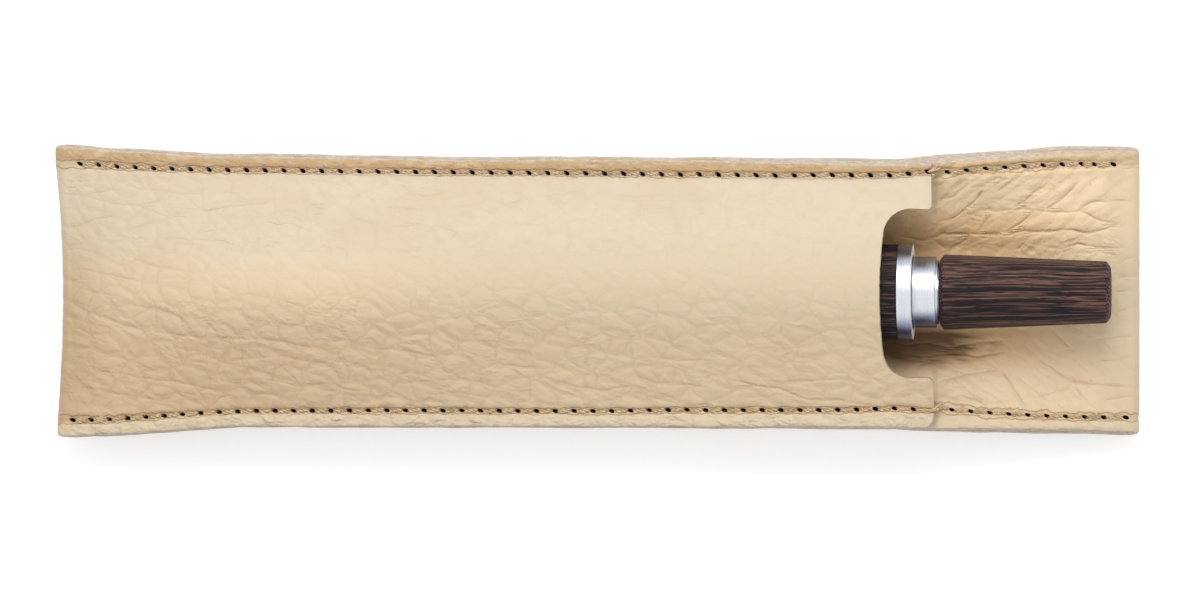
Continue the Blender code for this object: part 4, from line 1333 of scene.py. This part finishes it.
def wood_finish(name, pale, heart):
    tree, finish, place = new_finish(name)
    sway = tree.vectors('MULTIPLY', cloud(place, (60, 160, 160), 2, output=1), (0.0, 0.0011, 0.0011))
    bent = tree.vectors('ADD', place, sway)
    stripes = cloud(bent, (20, 3100, 3100), 3.0, 0.60)
    bands = cloud(tree.vectors('ADD', bent, (0.0, 0.031, 0.017)), (8, 330, 330), 1)
    fibres = cloud(bent, (240, 5400, 5400), 3, 0.65)
    pores = cloud(bent, (330, 2900, 2900), 2).between(0.60, 0.70)
    light = (stripes * 0.74 + bands * 0.26).between(0.45, 0.585)
    tone = layered(light.blend(heart, pale),
                   (fibres.between(0.48, 0.72) * light * 0.65, FIBRE_GLINT),
                   (fibres.between(0.50, 0.34) * 0.60, heart),
                   (pores * 0.75, PORE_BLACK))
    set_finish(tree, 0.00012, fibres * 0.5 - pores * 0.6 + stripes * 0.3,
               {"Specular IOR Level": 0.2}, Base_Color=tone, Roughness=0.56 + fibres * 0.2)
    return finish


knob_wood = wood_finish("striped_hardwood", KNOB_PALE, KNOB_HEART)
# the barrel's darker wood is painted shade of the pocket it lies in
barrel_wood = wood_finish("barrel_hardwood_painted_shade", BARREL_SHADED_PALE, BARREL_SHADED_HEART)
turned_piece("wooden_barrel_turning", (
    (RING_FRONT - HAIRLINE, BARREL, 0.00008), (BARREL_FRONT, BARREL, 0.0003),
    (BARREL_FRONT, BARREL_BORE, 0), (RING_FRONT - RING_BUSH_LENGTH, BARREL_BORE, 0),
    (RING_FRONT - RING_BUSH_LENGTH, BARREL - 2 * BUSH_WALL, 0),
    (RING_FRONT - HAIRLINE, BARREL - 2 * BUSH_WALL, 0)), barrel_wood, "pen", "wooden_barrel")
turned_piece("push_knob_turning", (
    (KNOB_FRONT + KNOB_LENGTH, 0, 0), (KNOB_FRONT + KNOB_LENGTH, KNOB_END - 0.0020, 0.0005),
    (KNOB_FRONT + KNOB_LENGTH - 0.0007, KNOB_END - 0.0002, 0.00025), (KNOB_FRONT + 0.0007, KNOB, 0.0002),
    (KNOB_FRONT, KNOB - 0.0019, 0.0001), (KNOB_FRONT, KNOB_BORE, 0),
    (KNOB_FRONT + KNOB_BORE_DEPTH, KNOB_BORE, 0), (KNOB_FRONT + KNOB_BORE_DEPTH, 0, 0)),
    knob_wood, "knob", "push_knob")

# Ring, neck and nose
# Turned from bright aluminium with a fine blasted grain. The ring closes the barrel, the neck
# slides in it with the knob, and the nose guides the jaws.
RING = 0.0151
NECK = 0.0112
SLEEVE = 0.0102
TUBE = 0.0086
SPIGOT = 0.0080
SPIGOT_LENGTH = 0.0171
SPIGOT_BORE = 0.0064
RING_STOP_WIDTH = 0.0068
RING_BUSH = 0.0126
SLEEVE_REACH = 0.0206
SLEEVE_SEAT = 0.0160
PRESS = 0.0030
GROOVE = 0.0100
NOSE_TIP = 0.0098
NOSE_BUSH_LENGTH = 0.0080
NOSE_WALL = 0.0009
NOSE_FALL = 1.35
JAW_HEAD = 0.0080
JAW_STEM = 0.0074
JAW_SEAT = 0.0040
THROAT = 0.0090
ALUMINIUM = (0.830, 0.850, 0.885, 1)
ALUMINIUM_DARK = (0.620, 0.650, 0.710, 1)
FLANK_PAINTED_REFLECTION = (0.100, 0.130, 0.270, 1)
FACED = (0.950, 0.950, 0.945, 1)
FACED_DARK = (0.880, 0.885, 0.890, 1)


def aluminium_finish():
    """Bright on its crown, and darker and bluer down both flanks, most on the lower one: a painted
    reflection of dark surroundings.
    """
    tree, finish, place = new_finish("turned_aluminium")
    flank = stored(tree, "flank")
    turning = cloud(place, (5200, 90, 90), 2)
    blast = cloud(place, 7800, 2, 0.6)
    # painted reflection: the flanks darkened and turned blue, the lower one more
    painted_flank_shade = (flank.between(-0.42, -0.84) * 0.96).most(flank.between(0.62, 0.94) * 0.52) * (0.55 + blast * 0.9)
    tone = layered((turning * 0.5 + blast * 0.5).between(0.3, 0.7).blend(ALUMINIUM_DARK, ALUMINIUM),
                   (painted_flank_shade, FLANK_PAINTED_REFLECTION))
    set_finish(tree, 0.00002, turning * 0.7 + blast, {"Metallic": 1.0}, Base_Color=tone,
               Roughness=0.20 + blast * 0.20)
    return finish


def faced_finish():
    """The ring's rear face, left matt and pale by the lathe's facing cut."""
    tree, finish, place = new_finish("faced_aluminium")
    blast = cloud(place, 5200, 2, 0.6)
    tone = blast.between(0.3, 0.7).blend(FACED_DARK, FACED)
    set_finish(tree, 0.00002, blast, {"Metallic": 0.15}, Base_Color=tone, Roughness=0.45 + blast * 0.2)
    return finish


aluminium = aluminium_finish()
bush_end = RING_FRONT - RING_BUSH_LENGTH
turned_piece("rear_ring_turning", (
    (RING_REAR, RING, 0.00012), (RING_FRONT, RING, 0.00010), (RING_FRONT, RING_BUSH, 0),
    (bush_end, RING_BUSH, 0.0002), (bush_end, SLEEVE + 2 * GAP, 0),
    (bush_end + RING_STOP_WIDTH, SLEEVE + 2 * GAP, 0),
    (bush_end + RING_STOP_WIDTH, NECK + 2 * GAP, 0), (RING_REAR, NECK + GAP, 0.00015)),
    aluminium, "pen", "rear_ring", faced_finish())
neck_front = bush_end + RING_STOP_WIDTH + GAP + PRESS
tube_end = neck_front - SLEEVE_REACH
turned_piece("push_sleeve_turning", (
    (NECK_REAR + GAP + SPIGOT_LENGTH, SPIGOT, 0.0002), (NECK_REAR + GAP, SPIGOT, 0),
    (NECK_REAR + GAP, GROOVE, 0), (NECK_REAR, GROOVE, 0), (NECK_REAR, NECK, 0.00015),
    (neck_front, NECK, 0.00015), (neck_front, SLEEVE, 0),
    (tube_end, SLEEVE, 0.0002), (tube_end, TUBE + 2 * GAP, 0), (tube_end + SLEEVE_SEAT, TUBE + 2 * GAP, 0),
    (tube_end + SLEEVE_SEAT, SPIGOT_BORE, 0), (NECK_REAR + GAP + SPIGOT_LENGTH, SPIGOT_BORE, 0)),
    aluminium, "knob", "push_sleeve")
shoulder = BARREL_FRONT - HAIRLINE
tip = BARREL_FRONT - GAP - NOSE_LENGTH
taper = [(shoulder + (tip - shoulder) * share, BARREL + (NOSE_TIP - BARREL) * share ** NOSE_FALL, 0)
         for share in (i / 10 for i in range(1, 10))]
turned_piece("nose_cone_turning", (
    (shoulder + NOSE_BUSH_LENGTH, BARREL_BORE - 2 * GAP, 0.0002), (shoulder, BARREL_BORE - 2 * GAP, 0),
    (shoulder, BARREL, 0.0001), *taper, (tip, NOSE_TIP, 0.0003), (tip, JAW_HEAD + 2 * GAP, 0.0002),
    (tip + JAW_SEAT, JAW_STEM + 2 * GAP, 0), (tip + THROAT, JAW_STEM + 2 * GAP, 0),
    (tip + THROAT, TUBE + 4 * GAP, 0), (shoulder - NOSE_WALL, TUBE + 4 * GAP, 0),
    (shoulder - NOSE_WALL, TUBE + 2 * GAP, 0), (shoulder + NOSE_BUSH_LENGTH, TUBE + 2 * GAP, 0)),
    aluminium, "pen", "nose_cone")

# Clutch
# Brass tube, collar and slotted jaws and a thick graphite lead, which keep their solids'
# shapes, and a spring wound from drawn steel wire with closed ends, pressed by the knob.
SPRING_WIRE = 0.0007
SPRING_TURNS = 10
COIL_STEPS = 40
WIRE_SIDES = 10
COLLAR_WIDTH = 0.0030
CLOSED_TURN = 1.05 * SPRING_WIRE
BRASS = (0.860, 0.660, 0.320, 1)
BRASS_DARK = (0.640, 0.420, 0.160, 1)
STEEL = (0.680, 0.680, 0.690, 1)
STEEL_DARK = (0.480, 0.480, 0.490, 1)
GRAPHITE = (0.075, 0.075, 0.082, 1)
GRAPHITE_DARK = (0.030, 0.030, 0.033, 1)


def metal_finish(name, dark, pale, rough, turning_scale):
    tree, finish, place = new_finish(name)
    turning = cloud(place, turning_scale, 3)
    stain = cloud(place, 500, 3)
    tone = (turning * 0.4 + stain * 0.6).between(0.35, 0.65).blend(dark, pale)
    set_finish(tree, 0.00002, turning, {"Metallic": 1.0}, Base_Color=tone, Roughness=rough + stain * 0.2)
    return finish


def graphite_finish():
    tree, finish, place = new_finish("graphite")
    streaks = cloud(place, (200, 3000, 3000), 3)
    tone = streaks.between(0.35, 0.65).blend(GRAPHITE_DARK, GRAPHITE)
    set_finish(tree, 0.00002, streaks, Base_Color=tone, Roughness=0.38 + streaks * 0.2)
    return finish


brass = metal_finish("turned_brass", BRASS_DARK, BRASS, 0.20, (5200, 90, 90))
steel = metal_finish("drawn_steel", STEEL_DARK, STEEL, 0.25, 1500)
graphite = graphite_finish()
for node, finish in (("push_tube", brass), ("spring_collar", brass), ("clutch_collet", brass),
                     ("lead", graphite)):
    for material_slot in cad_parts[node].material_slots:
        material_slot.material = finish

collar_low, collar_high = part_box("spring_collar")
coil_front = BARREL_FRONT + NOSE_BUSH_LENGTH
coil_length = (collar_low[0] + collar_high[0] - COLLAR_WIDTH) / 2 - GAP - coil_front
open_turn = (coil_length - SPRING_WIRE - 2 * CLOSED_TURN) / (SPRING_TURNS - 2)
turn_steps = np.full(SPRING_TURNS * COIL_STEPS, open_turn / COIL_STEPS)
turn_steps[:COIL_STEPS] = turn_steps[-COIL_STEPS:] = CLOSED_TURN / COIL_STEPS
coil_places = coil_front + SPRING_WIRE / 2 + np.concatenate(([0], np.cumsum(turn_steps)))
coil_radius = (BARREL_BORE + TUBE) / 4
coil = tubes("clutch_spring_coil", [[
    pen_frame @ Vector((place, coil_radius * math.cos(math.tau * i / COIL_STEPS),
                        coil_radius * math.sin(math.tau * i / COIL_STEPS)))
    for i, place in enumerate(coil_places)]],
    WIRE_SIDES, SPRING_WIRE / 2, pen_frame.to_3x3() @ Vector((1, 0, 0)))
coil.data.materials.append(steel)
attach(coil, "pen")
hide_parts("clutch_spring")
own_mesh(coil)
